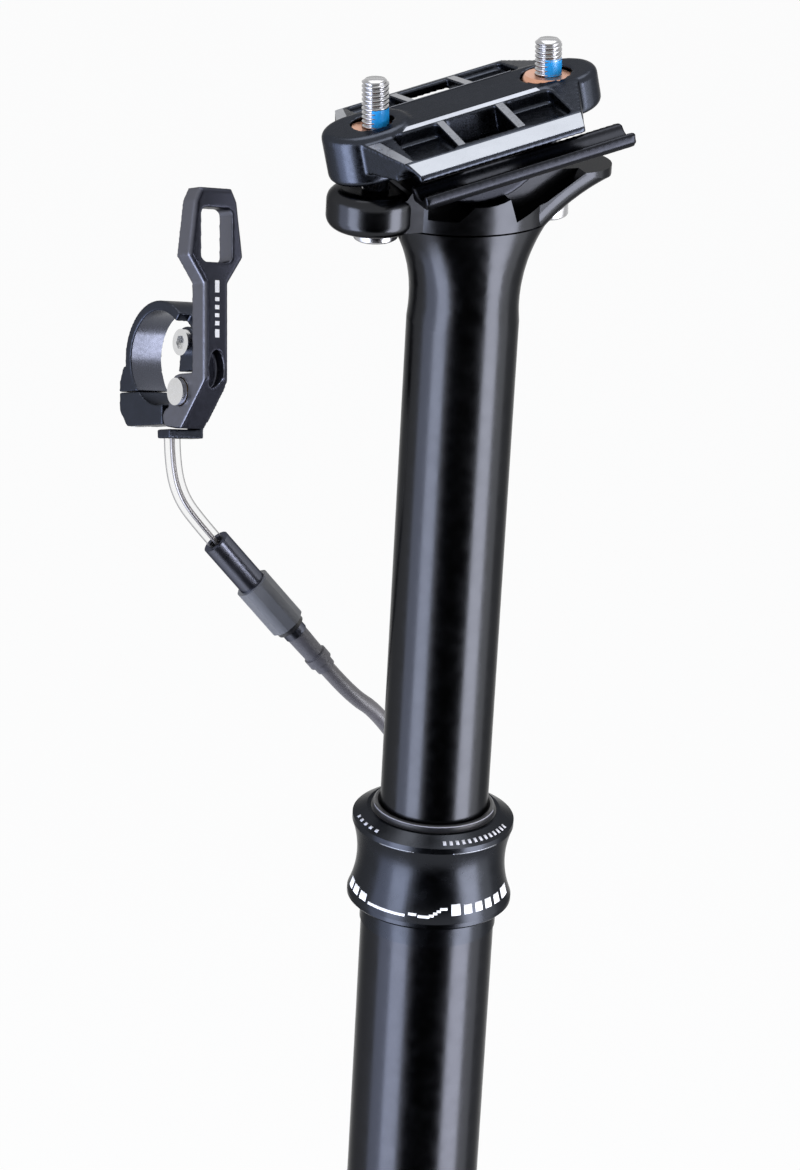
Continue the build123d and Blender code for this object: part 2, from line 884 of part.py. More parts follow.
def make_wings():
    """The plate that presses on both rails, with its pockets and windows."""
    section = [
        (-wing_half_width, wing_edge_top),
        (-wing_flat_half, wing_top),
        (-ridge_foot, wing_crown),
        (ridge_foot, wing_crown),
        (wing_flat_half, wing_top),
        (wing_half_width, wing_edge_top),
        (wing_half_width, wing_edge_bottom),
        (spine_half_width, wing_edge_bottom),
        (spine_half_width, spine_bottom),
        (-spine_half_width, spine_bottom),
        (-spine_half_width, wing_edge_bottom),
        (-wing_half_width, wing_edge_bottom),
    ]
    start = Plane(origin=(wing_nose, 0, 0), x_dir=(0, 1, 0), z_dir=(1, 0, 0))
    plate = extrude(start * make_face(Polyline(*section, close=True)), amount=wing_tail - wing_nose)
    near = [
        (wing_nose, -boss_half_width),
        (wing_front, -wing_flat_half),
        (wing_front + wing_corner, -wing_half_width),
        (wing_rear - wing_corner, -wing_half_width),
        (wing_rear, -wing_flat_half),
        (wing_tail, -ridge_foot),
    ]
    plan = near + [(along, -across) for along, across in reversed(near)]
    plate &= prism(plan, -cut_over, cut_over)
    ridge = [
        (-ridge_foot, wing_edge_bottom),
        (-ridge_foot, wing_crown),
        (-ridge_half_width, ridge_top),
        (ridge_half_width, ridge_top),
        (ridge_foot, wing_crown),
        (ridge_foot, wing_edge_bottom),
    ]
    ridge_plane = Plane(origin=(front_bolt, 0, 0), x_dir=(0, 1, 0), z_dir=(1, 0, 0))
    ridge_face = ridge_plane * make_face(Polyline(*ridge, close=True))
    plate += extrude(ridge_face, amount=rear_bolt - front_bolt)
    for groove in rail_grooves():
        plate -= groove
    for side in (-1, 1):
        low, high = sorted((side * pocket_inner, side * pocket_outer))
        plate -= wing_pocket(pocket_front, pocket_middle, low, high)
        plate -= wing_pocket(pocket_rear_start, pocket_rear_end, low, high)
        low, high = sorted((side * window_inner, side * window_outer))
        plate -= box_between((window_start, low, -cut_over), (window_end, high, cut_over))
    return plate


def make_boss(along, low, high):
    """A boss of the upper clamp with a round nose, before its seat is cut."""
    nose = math.copysign(boss_nose, along)
    plan = SlotCenterToCenter(boss_nose, 2 * boss_half_width)
    boss = extrude(Pos(along + nose / 2, 0, low) * plan, amount=high - low)
    return fillet(boss.edges().filter_by(Plane.XY), boss_round)


def make_upper_clamp():
    body = make_wings() + make_boss(front_bolt, front_boss_bottom, front_boss_top)
    body += make_boss(rear_bolt, rear_boss_bottom, rear_boss_top)
    for along in (front_bolt, rear_bolt):
        body -= Pos(along, 0, 0) * Sphere(nut_radius + nut_slack)
        slot = SlotOverall(2 * bolt_slot_half, 2 * bolt_slot_half_width)
        body -= extrude(Pos(along, 0, -cut_over) * slot, amount=cut_over)
    return clamp_frame.location * body


def make_lower_cradle():
    body = box_between(
        (cradle_web_front, -cradle_rail_inner - cradle_corner, cradle_bottom),
        (cradle_web_rear, cradle_rail_inner + cradle_corner, cradle_web_top),
    )
    for side in (-1, 1):
        low, high = sorted((side * cradle_rail_inner, side * cradle_half_width))
        rail = box_between((cradle_front, low, cradle_bottom), (cradle_rear, high, cradle_lip))
        outer = [
            edge
            for edge in rail.edges().filter_by(Axis.X)
            if abs(edge.center().Y) > rail_half_spacing and edge.center().Z < cradle_web_top
        ]
        body += chamfer(outer, cradle_corner)
    for groove in rail_grooves():
        body -= groove
    seat = cross_rod(0, 0, trough_radius - seat_gap, cradle_boss_half_width)
    body += seat & box_between(
        (-cradle_boss_half_length, -cradle_boss_half_width, -2 * trough_radius),
        (cradle_boss_half_length, cradle_boss_half_width, cradle_bottom),
    )
    return clamp_frame.location * body


def make_bar_band():
    body = ring_part(band_start_angle, band_end_angle, -band_half, band_half)
    body -= box_between((-cut_over, -cut_over, -cut_over), (0, lug_bottom, cut_over))
    body += ring_part(band_eye_angle, band_start_angle, -band_half, hinge_eye_top)
    eye_height = hinge_eye_top - hinge_eye_low
    middle = (hinge_eye_top + hinge_eye_low) / 2
    body += Pos(hinge_x, hinge_y, middle) * Cylinder(hinge_eye_radius, eye_height)
    lug = [
        (-lug_outer, lug_bottom),
        (-lug_outer, lug_top - lug_slope),
        (lug_corner - lug_outer, lug_top),
        (-lug_inner, lug_top),
        (-lug_inner, lug_bottom),
    ]
    body += prism(lug, -band_half, band_half)
    body -= Cylinder(bar_radius, cut_over)
    body -= Pos(hinge_x, hinge_y, 0) * Cylinder(hinge_pin_radius + running_gap, cut_over)
    hole = clamp_screw_radius + running_gap
    slot_end = clamp_screw_x + hole + lug_slot
    slot = box_between((clamp_screw_x, lug_bottom, -hole), (slot_end, lug_top, hole))
    bore = Pos(clamp_screw_x, lug_bottom, 0) * Rot(full_turn / 4, 0, 0) * Cylinder(hole, cut_over / 4)
    body -= slot + bore
    clear = hinge_boss_radius + seat_gap
    body -= Pos(hinge_x, hinge_y, hinge_eye_top + cut_over / 2) * Cylinder(clear, cut_over)
    return remote_frame.location * body


def make_remote_bracket():
    body = ring_part(ring_join_angle, ring_narrow_angle, -band_half, band_half)
    body -= box_between((-cut_over, block_top, -cut_over), (0, cut_over, cut_over))
    body += ring_part(ring_narrow_angle, ring_last_angle, -band_half, web_face)
    block = [
        (block_left, block_top),
        (block_left, block_shoulder),
        (block_toe, block_bottom),
        (block_right, block_bottom),
        (block_right, block_top),
    ]
    body += prism(block, -band_half, band_half)
    web = [
        (0, block_bottom),
        (web_heel, web_low),
        (web_toe, web_low),
        (web_right, web_shoulder),
        (web_right, plate_high),
        (0, plate_high),
    ]
    body += prism(web, web_back, web_face)
    body += box_between((bar_radius, plate_low, web_back), (web_right, plate_high, hinge_face))
    low = hinge_eye_top + seat_gap
    body += Pos(hinge_x, hinge_y, (low + hinge_face) / 2) * Cylinder(hinge_boss_radius, hinge_face - low)
    body += box_between(
        (hinge_x - hinge_boss_radius, plate_low, low), (web_right, hinge_y, hinge_face)
    )
    body += box_between(
        (anchor_x - stop_half, stop_bottom, stop_back), (anchor_x + stop_half, web_low, web_face)
    )
    body += box_between(
        (anchor_x - stop_half, stop_bottom, 0), (anchor_x + stop_half, stop_top, stop_front)
    )
    body -= Cylinder(bar_radius, cut_over)
    body -= tube(bar_radius + bracket_relief, 0, band_half, cut_over)
    clear = hinge_eye_radius + seat_gap
    body -= Pos(hinge_x, hinge_y, low - cut_over / 2) * Cylinder(clear, cut_over)
    body -= Pos(hinge_x, hinge_y, hinge_face) * Cylinder(hinge_pin_radius + thread_gap, cut_over)
    body -= Pos(pivot_x, pivot_y, 0) * Cylinder(pivot_radius + thread_gap, cut_over)
    upright = Rot(full_turn / 4, 0, 0)
    screw = Pos(clamp_screw_x, block_top, 0) * upright
    screw *= Cylinder(clamp_screw_radius + thread_gap, cut_over)
    head = Pos(clamp_screw_x, block_bottom, 0) * upright
    head *= Cylinder(clamp_screw_head + running_gap, 2 * clamp_screw_head_height)
    wire = Pos(anchor_x, stop_top, anchor_centre) * upright * Cylinder(liner_bore, cut_over / 4)
    socket_top = stop_bottom + liner_socket_depth
    socket = Pos(anchor_x, stop_bottom, anchor_centre) * upright
    socket *= Cylinder(liner_radius + running_gap, 2 * liner_socket_depth)
    body -= screw + head
    body -= wire + socket
    return remote_frame.location * body


def make_hinge_screw():
    length = hinge_face - hinge_eye_low
    shank = Pos(0, 0, (hinge_face + hinge_eye_low) / 2) * Cylinder(hinge_pin_radius, length)
    head = Pos(0, 0, hinge_face + screw_head_height / 2) * Cylinder(screw_head_radius, screw_head_height)
    top = hinge_face + screw_head_height
    screw = shank + head - hex_socket(screw_socket_width, screw_socket_depth, top)
    return remote_frame.location * Pos(hinge_x, hinge_y, 0) * screw


def make_clamp_screw():
    length = clamp_screw_tip - block_bottom - clamp_screw_head_height
    shank = Pos(0, 0, length / 2) * Cylinder(clamp_screw_radius, length)
    head = Pos(0, 0, -clamp_screw_head_height / 2) * Cylinder(clamp_screw_head, clamp_screw_head_height)
    socket = hex_socket(screw_socket_width, screw_socket_depth, clamp_screw_head_height)
    screw = shank + head - Rot(full_turn / 2, 0, 0) * socket
    place = Pos(clamp_screw_x, block_bottom + clamp_screw_head_height, 0) * Rot(-full_turn / 4, 0, 0)
    return remote_frame.location * place * screw


def make_pivot_bolt():
    top = lever_centre + lever_neck_half + running_gap
    shank = Pos(0, 0, (top + pivot_root) / 2) * Cylinder(pivot_radius, top - pivot_root)
    cap = Pos(0, 0, top + pivot_cap_height / 2) * Cylinder(pivot_cap_radius, pivot_cap_height)
    return remote_frame.location * Pos(pivot_x, pivot_y, 0) * (shank + cap)


def make_pivot_sleeve():
    inner = pivot_radius + running_gap
    ring = Cylinder(inner + pivot_sleeve_wall, 2 * lever_neck_half) - Cylinder(inner, cut_over)
    return remote_frame.location * Pos(pivot_x, pivot_y, lever_centre) * ring


def lever_profile():
    """The lever seen along the bar: paddle, neck, chin, hub and anchor."""
    back = lever_face - lever_thickness
    hub = pivot_y + lever_hub_radius
    outline = Polyline(
        (pivot_x, hub),
        (back, hub),
        (back, lever_top),
        (lever_face, lever_top),
        (lever_face, lever_chin),
        (lever_toe_x, lever_bottom),
        (lever_heel_x, lever_bottom),
        (anchor_x, anchor_y - anchor_radius),
        (anchor_x, anchor_y + anchor_radius),
        (pivot_x - lever_hub_radius, pivot_y),
        close=True,
    )
    return make_face(outline)


def lever_blank():
    """The lever seen from its face, with its front edges chamfered."""
    half = [
        (lever_neck_half, 2 * anchor_y),
        (lever_neck_half, lever_taper),
        (lever_paddle_half, lever_wide),
        (lever_top_half, lever_top - lever_top_corner),
        (lever_top_half - lever_top_corner / 2, lever_top),
    ]
    points = half + [(-wide, high) for wide, high in reversed(half)]
    plane = Plane(origin=(lever_face, 0, lever_centre), x_dir=(0, 0, 1), z_dir=(-1, 0, 0))
    blank = extrude(plane * make_face(Polyline(*points, close=True)), amount=2 * lever_face)
    front = blank.faces().sort_by(Axis.X)[-1]
    return chamfer(front.edges(), lever_chamfer)


def nipple_pin(radius, gap):
    """The cable's nipple across the lever, or its bore with a gap at the closed end."""
    start = lever_centre - lever_neck_half
    length = 2 * lever_neck_half - nipple_cover + gap
    return Pos(anchor_x, anchor_y, start + length / 2) * Cylinder(radius, length)


def make_remote_lever():
    low = lever_centre - lever_paddle_half
    body = extrude(Pos(0, 0, low) * lever_profile(), amount=2 * lever_paddle_half)
    body += Pos(pivot_x, pivot_y, lever_centre) * Cylinder(lever_hub_radius, 2 * lever_paddle_half)
    body += Pos(anchor_x, anchor_y, lever_centre) * Cylinder(anchor_radius, 2 * lever_paddle_half)
    body &= lever_blank()
    middle = (lever_window_low + lever_window_high) / 2
    opening = RectangleRounded(
        2 * lever_window_half, lever_window_high - lever_window_low, lever_window_corner
    )
    face_plane = Plane(origin=(lever_face, 0, lever_centre), x_dir=(0, 0, -1), z_dir=(1, 0, 0))
    body -= extrude(face_plane * (Pos(0, middle) * opening), amount=lever_face, both=True)
    oval = Pos(0, lever_oval_y) * Ellipse(lever_oval_half_width, lever_oval_half_height)
    body -= extrude(face_plane * oval, amount=lever_oval_depth, both=True)
    bore = pivot_radius + running_gap + pivot_sleeve_wall
    body -= Pos(pivot_x, pivot_y, 0) * Cylinder(bore + thread_gap, cut_over)
    body -= nipple_pin(nipple_radius + running_gap, thread_gap)
    return remote_frame.location * body


def make_cable_nipple():
    return remote_frame.location * nipple_pin(nipple_radius, 0)


# Cable route helpers
joint_run = Vector(*joint_end) - Vector(*joint_start)
joint_direction = joint_run.normalized()


def joint_point(distance):
    """A point on the axis of the cable joint, from its upper end."""
    return tuple(Vector(*joint_start) + joint_direction * distance)


def corner_radii(name, points):
    """The largest tangent arc that each corner's runs allow, printed in diameters."""
    radii = []
    for before, corner, after in zip(points, points[1:], points[2:]):
        first = Vector(*corner) - Vector(*before)
        second = Vector(*after) - Vector(*corner)
        half_turn = math.radians(first.get_angle(second)) / 2
        shorter = min(first.length, second.length)
        radii.append(run_share * shorter / math.tan(half_turn))
    print(name, "bend radii", [round(radius, 1) for radius in radii])
    return radii


def swept_tube(name, points, radius, bore):
    """A round cord along straight runs joined by tangent arcs."""
    path = FilletPolyline(*points, radius=corner_radii(name, points))
    start = Vector(*points[1]) - Vector(*points[0])
    section = Circle(radius)
    if bore > 0:
        section -= Circle(bore)
    solid = sweep(Plane(origin=points[0], z_dir=start) * section, path=path)
    expected = math.pi * (radius**2 - bore**2) * path.length
    print(name, "length", round(path.length, 1), "volume share", round(solid.volume / expected, 4))
    return solid


def liner_route():
    """The liner's route from its seat in the bracket to its seat in the joint."""
    top = remote_point(anchor_x, stop_bottom + liner_socket_depth, anchor_centre)
    exit_point = remote_point(anchor_x, stop_bottom - liner_lead, anchor_centre)
    joint_lead = joint_point(-liner_lead - running_gap)
    return [top, exit_point] + liner_points + [joint_lead, joint_point(joint_socket_depth)]


def make_cable_liner():
    return swept_tube("liner", liner_route(), liner_radius, liner_bore)


def make_inner_wire():
    top = remote_point(anchor_x, stop_top, anchor_centre)
    return swept_tube("wire", [top] + liner_route()[1:], wire_radius, 0)


def make_joint_body():
    body = rod_between(joint_point(0), joint_point(joint_length), joint_radius)
    stud_end = joint_length + adjuster_length - adjuster_ring_length
    body += rod_between(joint_point(joint_length), joint_point(stud_end), joint_stud_radius)
    body -= rod_between(joint_point(0), joint_point(joint_socket_depth), liner_radius + running_gap)
    return body


def make_adjuster_nut():
    start = joint_point(joint_length)
    end = joint_point(joint_length + adjuster_length)
    plane = Plane(origin=start, z_dir=joint_direction)
    hexagon = RegularPolygon(adjuster_flats / 2, 6, major_radius=False)
    nut = extrude(plane * hexagon, amount=adjuster_length)
    nut &= rod_between(start, end, adjuster_flats / 2 + adjuster_corner)
    return nut - rod_between(start, end, joint_stud_radius + running_gap)


def make_adjuster_ring():
    start = joint_point(joint_length + adjuster_length)
    end = joint_point(joint_length + adjuster_length + adjuster_ring_length)
    ring = rod_between(start, end, adjuster_ring_radius)
    return ring - rod_between(start, end, step_nose_radius + running_gap)


def make_step_ferrule():
    start = joint_length + adjuster_length + adjuster_ring_length
    nose = rod_between(joint_point(start - adjuster_ring_length), joint_point(start), step_nose_radius)
    return nose + rod_between(joint_point(start), joint_point(start + step_length), step_radius)


def make_housing_boot():
    start = joint_length + adjuster_length + adjuster_ring_length + step_length
    length = joint_run.length - start
    plane = Plane(origin=joint_point(start), z_dir=joint_direction)
    cone = plane.location * Pos(0, 0, length / 2) * Cone(boot_radius, boot_tip_radius, length)
    rib_start = start + length * boot_rib_share
    rib = rod_between(joint_point(rib_start), joint_point(rib_start + boot_rib_length), boot_rib_radius)
    return cone + rib


def coil_point(side, depth, height):
    """A point beside the post in the coil's own directions."""
    turn = math.radians(coil_facing)
    x = side * math.cos(turn) - depth * math.sin(turn)
    y = side * math.sin(turn) + depth * math.cos(turn)
    return (x, y, coil_height + height)


def coil_steps():
    """How each half turn changes the radius and the layer."""
    narrow_step = coil_pitch - coil_wide_step
    steps = []
    for layer in range(coil_layers):
        sign = 1 if layer % 2 else -1
        count = coil_layer_half_turns + (layer == coil_layers - 1)
        for index in range(count):
            size = narrow_step if index % 2 else coil_wide_step
            steps.append((sign * size, 0))
        if layer < coil_layers - 1:
            steps.append((0, coil_pitch))
    return steps


def coil_junctions():
    """The points at the coil's two sides where one half turn meets the next."""
    narrow_step = coil_pitch - coil_wide_step
    radius = coil_inner_radius + 2 * coil_wide_step + narrow_step
    depth = coil_depth
    places = [(-radius, depth)]
    for index, (growth, climb) in enumerate(coil_steps()):
        radius += growth
        depth -= climb
        side = radius if index % 2 == 0 else -radius
        places.append((side, depth))
    return places


def coil_arcs():
    """The coil's half turns as start, middle and end points."""
    arcs = []
    places = coil_junctions()
    for index, (start, end) in enumerate(zip(places, places[1:])):
        middle_side = (start[0] + end[0]) / 2
        middle_depth = (start[1] + end[1]) / 2
        radius = math.hypot(end[0] - start[0], end[1] - start[1]) / 2
        height = -radius if index % 2 == 0 else radius
        arcs.append(
            (
                coil_point(start[0], start[1], 0),
                coil_point(middle_side, middle_depth, height),
                coil_point(end[0], end[1], 0),
            )
        )
    return arcs


def print_coil_gap():
    """Measures the coil's least gap to itself on points along its half turns."""
    samples = []
    places = coil_junctions()
    for index, (start, end) in enumerate(zip(places, places[1:])):
        radius = math.hypot(end[0] - start[0], end[1] - start[1]) / 2
        sign = -1 if index % 2 == 0 else 1
        for step in range(gap_samples):
            angle = math.pi * step / gap_samples
            share = (1 - math.cos(angle)) / 2
            side = start[0] + (end[0] - start[0]) * share
            depth = start[1] + (end[1] - start[1]) * share
            place = Vector(side, depth, sign * radius * math.sin(angle))
            samples.append((index + step / gap_samples, place))
    least = min(
        (second - first).length
        for position, first in samples
        for other, second in samples
        if other - position > 1
    )
    print("coil least gap to itself", round(least - 2 * housing_radius, 2))


def make_housing_coil():
    places = coil_junctions()
    first = coil_point(places[0][0], places[0][1], coil_tail)
    last = coil_point(places[-1][0], places[-1][1], -coil_tail)
    arcs = coil_arcs()
    edges = [Line(first, arcs[0][0])]
    edges += [ThreePointArc(*arc) for arc in arcs]
    edges.append(Line(arcs[-1][2], last))
    path = Wire(edges)
    solid = sweep(Plane(origin=first, z_dir=(0, 0, -1)) * Circle(housing_radius), path=path)
    expected = math.pi * housing_radius**2 * path.length
    print("coil length", round(path.length, 1), "volume share", round(solid.volume / expected, 4))
    return solid


def make_housing_upper():
    start = coil_junctions()[0]
    end = coil_point(start[0], start[1], coil_tail)
    above = coil_point(start[0], start[1], coil_tail + housing_lead)
    leaving = joint_point(joint_run.length + boot_lead)
    points = [joint_end, leaving] + housing_points + [above, end]
    return swept_tube("upper housing", points, housing_radius, 0)


def make_housing_lower():
    last = coil_junctions()[-1]
    start = coil_point(last[0], last[1], -coil_tail)
    below = coil_point(last[0], last[1], -coil_tail - return_lead)
    rise = (stop_x, 0, ferrule_bottom - return_rise)
    points = [start, below] + return_points + [rise, (stop_x, 0, ferrule_bottom)]
    return swept_tube("lower housing", points, housing_radius, 0)


def make_coil_tie(sign):
    """A flat band round all turns at the coil's top or bottom."""
    radii = [abs(side) for side, depth in coil_junctions()]
    reach = housing_radius + tie_gap
    inner = min(radii) - reach
    outer = max(radii) + reach
    depths = [depth for side, depth in coil_junctions()]
    near = min(depths) - reach
    far = max(depths) + reach
    centre = sign * (inner + outer) / 2
    outside = Box(tie_width, far - near + 2 * tie_wall, outer - inner + 2 * tie_wall)
    inside = Box(2 * tie_width, far - near, outer - inner)
    place = Pos(0, 0, coil_height) * Rot(0, 0, coil_facing) * Pos(0, (near + far) / 2, centre)
    return place * (outside - inside)


def make_coil_ties():
    return Compound(children=[make_coil_tie(1), make_coil_tie(-1)])


def make_parts():
    """Every piece by the name of its node."""
    return {
        "outer_tube": make_outer_tube(),
        "seal_collar": make_seal_collar(),
        "collar_bearing": make_collar_bearing(),
        "collar_o_ring": make_seal_ring(),
        "wiper_seal": make_wiper_seal(),
        "stanchion_and_head": make_stanchion(),
        "guide_keys": make_guide_keys(),
        "lower_bushing": make_lower_bushing(),
        "cartridge_retainer": make_retainer(),
        "gas_cylinder": make_gas_cylinder(),
        "cylinder_gland": make_cylinder_gland(),
        "top_out_bumper": make_top_out_bumper(),
        "spring_rod": make_spring_rod(),
        "spring_piston": make_piston(),
        "piston_ring": make_piston_ring(),
        "release_pin": make_release_pin(),
        "actuator_housing": make_actuator_housing(),
        "rod_nut": make_rod_nut(),
        "actuator_rocker": make_rocker(),
        "rocker_pin": make_rocker_pin(),
        "wire_barrel": make_wire_barrel(),
        "lower_wire": make_wire_end(),
        "stop_ferrule": make_stop_ferrule(),
        "clamp_bolts": make_clamp_bolts(),
        "bolt_washers": make_bolt_washers(),
        "front_nut": make_nut(front_bolt),
        "rear_nut": make_nut(rear_bolt),
        "upper_clamp": make_upper_clamp(),
        "lower_cradle": make_lower_cradle(),
        "bar_band": make_bar_band(),
        "remote_bracket": make_remote_bracket(),
        "hinge_screw": make_hinge_screw(),
        "band_screw": make_clamp_screw(),
        "pivot_bolt": make_pivot_bolt(),
        "pivot_sleeve": make_pivot_sleeve(),
        "remote_lever": make_remote_lever(),
        "cable_nipple": make_cable_nipple(),
        "cable_liner": make_cable_liner(),
        "upper_wire": make_inner_wire(),
        "joint_body": make_joint_body(),
        "adjuster_nut": make_adjuster_nut(),
        "adjuster_ring": make_adjuster_ring(),
        "step_ferrule": make_step_ferrule(),
        "housing_boot": make_housing_boot(),
        "housing_upper": make_housing_upper(),
        "housing_coil": make_housing_coil(),
        "housing_lower": make_housing_lower(),
        "coil_ties": make_coil_ties(),
    }


os.makedirs("parts", exist_ok=True)
print_coil_gap()
for node, shape in make_parts().items():
    export_step(shape, f"parts/{node}.step")
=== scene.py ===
import json
import math

import bpy
from mathutils import Matrix, Vector, noise

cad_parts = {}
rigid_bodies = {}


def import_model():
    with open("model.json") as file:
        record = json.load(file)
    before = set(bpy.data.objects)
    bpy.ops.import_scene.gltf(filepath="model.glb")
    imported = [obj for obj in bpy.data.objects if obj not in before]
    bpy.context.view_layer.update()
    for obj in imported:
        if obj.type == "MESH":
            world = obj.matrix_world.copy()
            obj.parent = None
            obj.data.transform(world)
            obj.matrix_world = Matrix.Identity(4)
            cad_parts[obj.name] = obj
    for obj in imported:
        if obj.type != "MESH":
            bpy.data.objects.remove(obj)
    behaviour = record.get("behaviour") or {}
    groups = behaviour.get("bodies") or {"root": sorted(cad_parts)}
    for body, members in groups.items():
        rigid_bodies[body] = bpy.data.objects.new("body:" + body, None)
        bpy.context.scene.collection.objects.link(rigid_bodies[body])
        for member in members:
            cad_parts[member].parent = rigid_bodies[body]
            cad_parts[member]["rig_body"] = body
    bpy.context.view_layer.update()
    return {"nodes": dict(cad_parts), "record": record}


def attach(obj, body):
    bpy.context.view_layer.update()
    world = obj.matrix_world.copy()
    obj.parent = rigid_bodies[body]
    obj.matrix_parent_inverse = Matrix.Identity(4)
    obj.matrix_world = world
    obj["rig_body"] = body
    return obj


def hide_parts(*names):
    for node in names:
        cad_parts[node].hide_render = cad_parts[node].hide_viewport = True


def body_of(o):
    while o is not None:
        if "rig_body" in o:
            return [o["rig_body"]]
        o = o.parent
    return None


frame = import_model()

# Camera, in metres and degrees: where it looks, how far away it is and how it is turned
camera_target = Vector((-0.00992, 0.00415, 0.08452))
camera_distance = 0.960
camera_heading = -22.7
camera_height = 22.0
camera_roll = -3.14
camera_lens = 128.3
camera_sensor = 36.0

# Floor, air, lamps and the dark card: a lamp's row is its name, its heading from the camera's side,
# its height, its distance, its width and its length, its radiance and its colour
floor_height = -0.9
floor_half = 6.0
floor_tone = 0.86
floor_glow_share = 0.94
air_colour = (0.92, 0.95, 1.0, 1.0)
air_strength = 0.55
white = (1.0, 1.0, 1.0, 1.0)
lamp_aim = Vector((0.0, 0.0, 0.08))
lamps = [
    ("left_panel", -46.0, -17.0, 1.25, 0.56, 1.5, 9.0, (0.76, 0.82, 1.0)),
    ("left_wing_panel", -73.0, -17.0, 1.25, 0.60, 1.5, 2.6, (0.66, 0.74, 1.0)),
    ("right_panel", 63.0, -17.0, 1.25, 0.64, 1.5, 11.0, (0.90, 0.91, 1.0)),
    ("right_wing_panel", 92.0, -17.0, 1.25, 0.55, 1.5, 1.6, (1.0, 1.0, 1.0)),
    ("top_panel", 180.0, 78.0, 1.3, 1.1, 1.1, 3.2, (1.0, 1.0, 1.0)),
]
card_ring = 0.72
card_heading = 10.0
card_spread = 33.0
card_low = -0.75
card_high = 0.1

# Cable, in metres: clear liner, joint and housing
liner_diameter = 0.0039
wire_diameter = 0.0012
housing_diameter = 0.004
joint_start = Vector((-0.0425, 0.0395, 0.0848))
joint_end = Vector((-0.0152, 0.0345, 0.0519))
joint_axis = (joint_end - joint_start).normalized()
boot_lead = 0.010
liner_route = [
    (-0.051553, 0.047179, 0.110589),
    (-0.052228, 0.044543, 0.103923),
    (-0.0509, 0.0419, 0.0959),
    (-0.045957, 0.040133, 0.088966),
    (-0.04028, 0.039093, 0.082125),
]
wire_start = (-0.051525, 0.047289, 0.110866)
housing_route = [
    (-0.0013, 0.0347, 0.0387),
    (0.0108, 0.0351, 0.0215),
    (0.0148, 0.0350, 0.0010),
    (0.0147, 0.0351, -0.0360),
    (0.0125, 0.0377, -0.0760),
    (-0.0028, 0.0478, -0.1060),
]
return_route = [
    (-0.0136, 0.0406, -0.2110),
    (-0.0126, 0.0398, -0.2380),
    (-0.0110, 0.0382, -0.2624),
    (-0.0047, 0.0270, -0.2754),
    (0.0042, 0.0112, -0.2754),
    (0.0105, 0.0, -0.2624),
    (0.0105, 0.0, -0.2440),
]
coil_inner_radius = 0.0194
coil_pitch = 0.0047
coil_wide_step = 0.0033
coil_layers = 4
coil_layer_half_turns = 3
coil_depth = 0.046
coil_height = -0.160
coil_facing = -22.7
coil_tail = 0.004
coil_points = 8
housing_lead = 0.018
return_lead = 0.020

# Saddle clamp and its bolts: name, place along the clamp, depth, height above the nut's centre
# and the thread-lock's lowest and highest place
clamp_tilt = -13.5
clamp_centre = Vector((-0.0025, 0.0, 0.197))
bolt_lean = 3.0
bolts = [
    ("front_clamp_bolt", -0.0213, 0.01705, 0.0144, (0.0037, 0.0080)),
    ("rear_clamp_bolt", 0.0203, 0.02397, 0.0116, (0.0037, 0.0075)),
]
bolt_radius = 0.003
bolt_tip = 0.0006
head_radius = 0.005
head_height = 0.005
head_round = 0.0006
socket_half_width = 0.0025
socket_depth = 0.0026
thread_pitch = 0.001
thread_root = 0.00252
thread_flank = 1.5
thread_start = -0.006
thread_steps = 8
lock_start = -15.0
lock_end = 150.0
lock_thickness = 0.00002
lock_rows = 26
lock_steps = 24
lock_side_fade = 6.0
lock_top_fade = 5.0
lock_wave_share = 0.7
lock_wave_round = 7.0
lock_wave_up = 900.0
lock_seed = 3.7

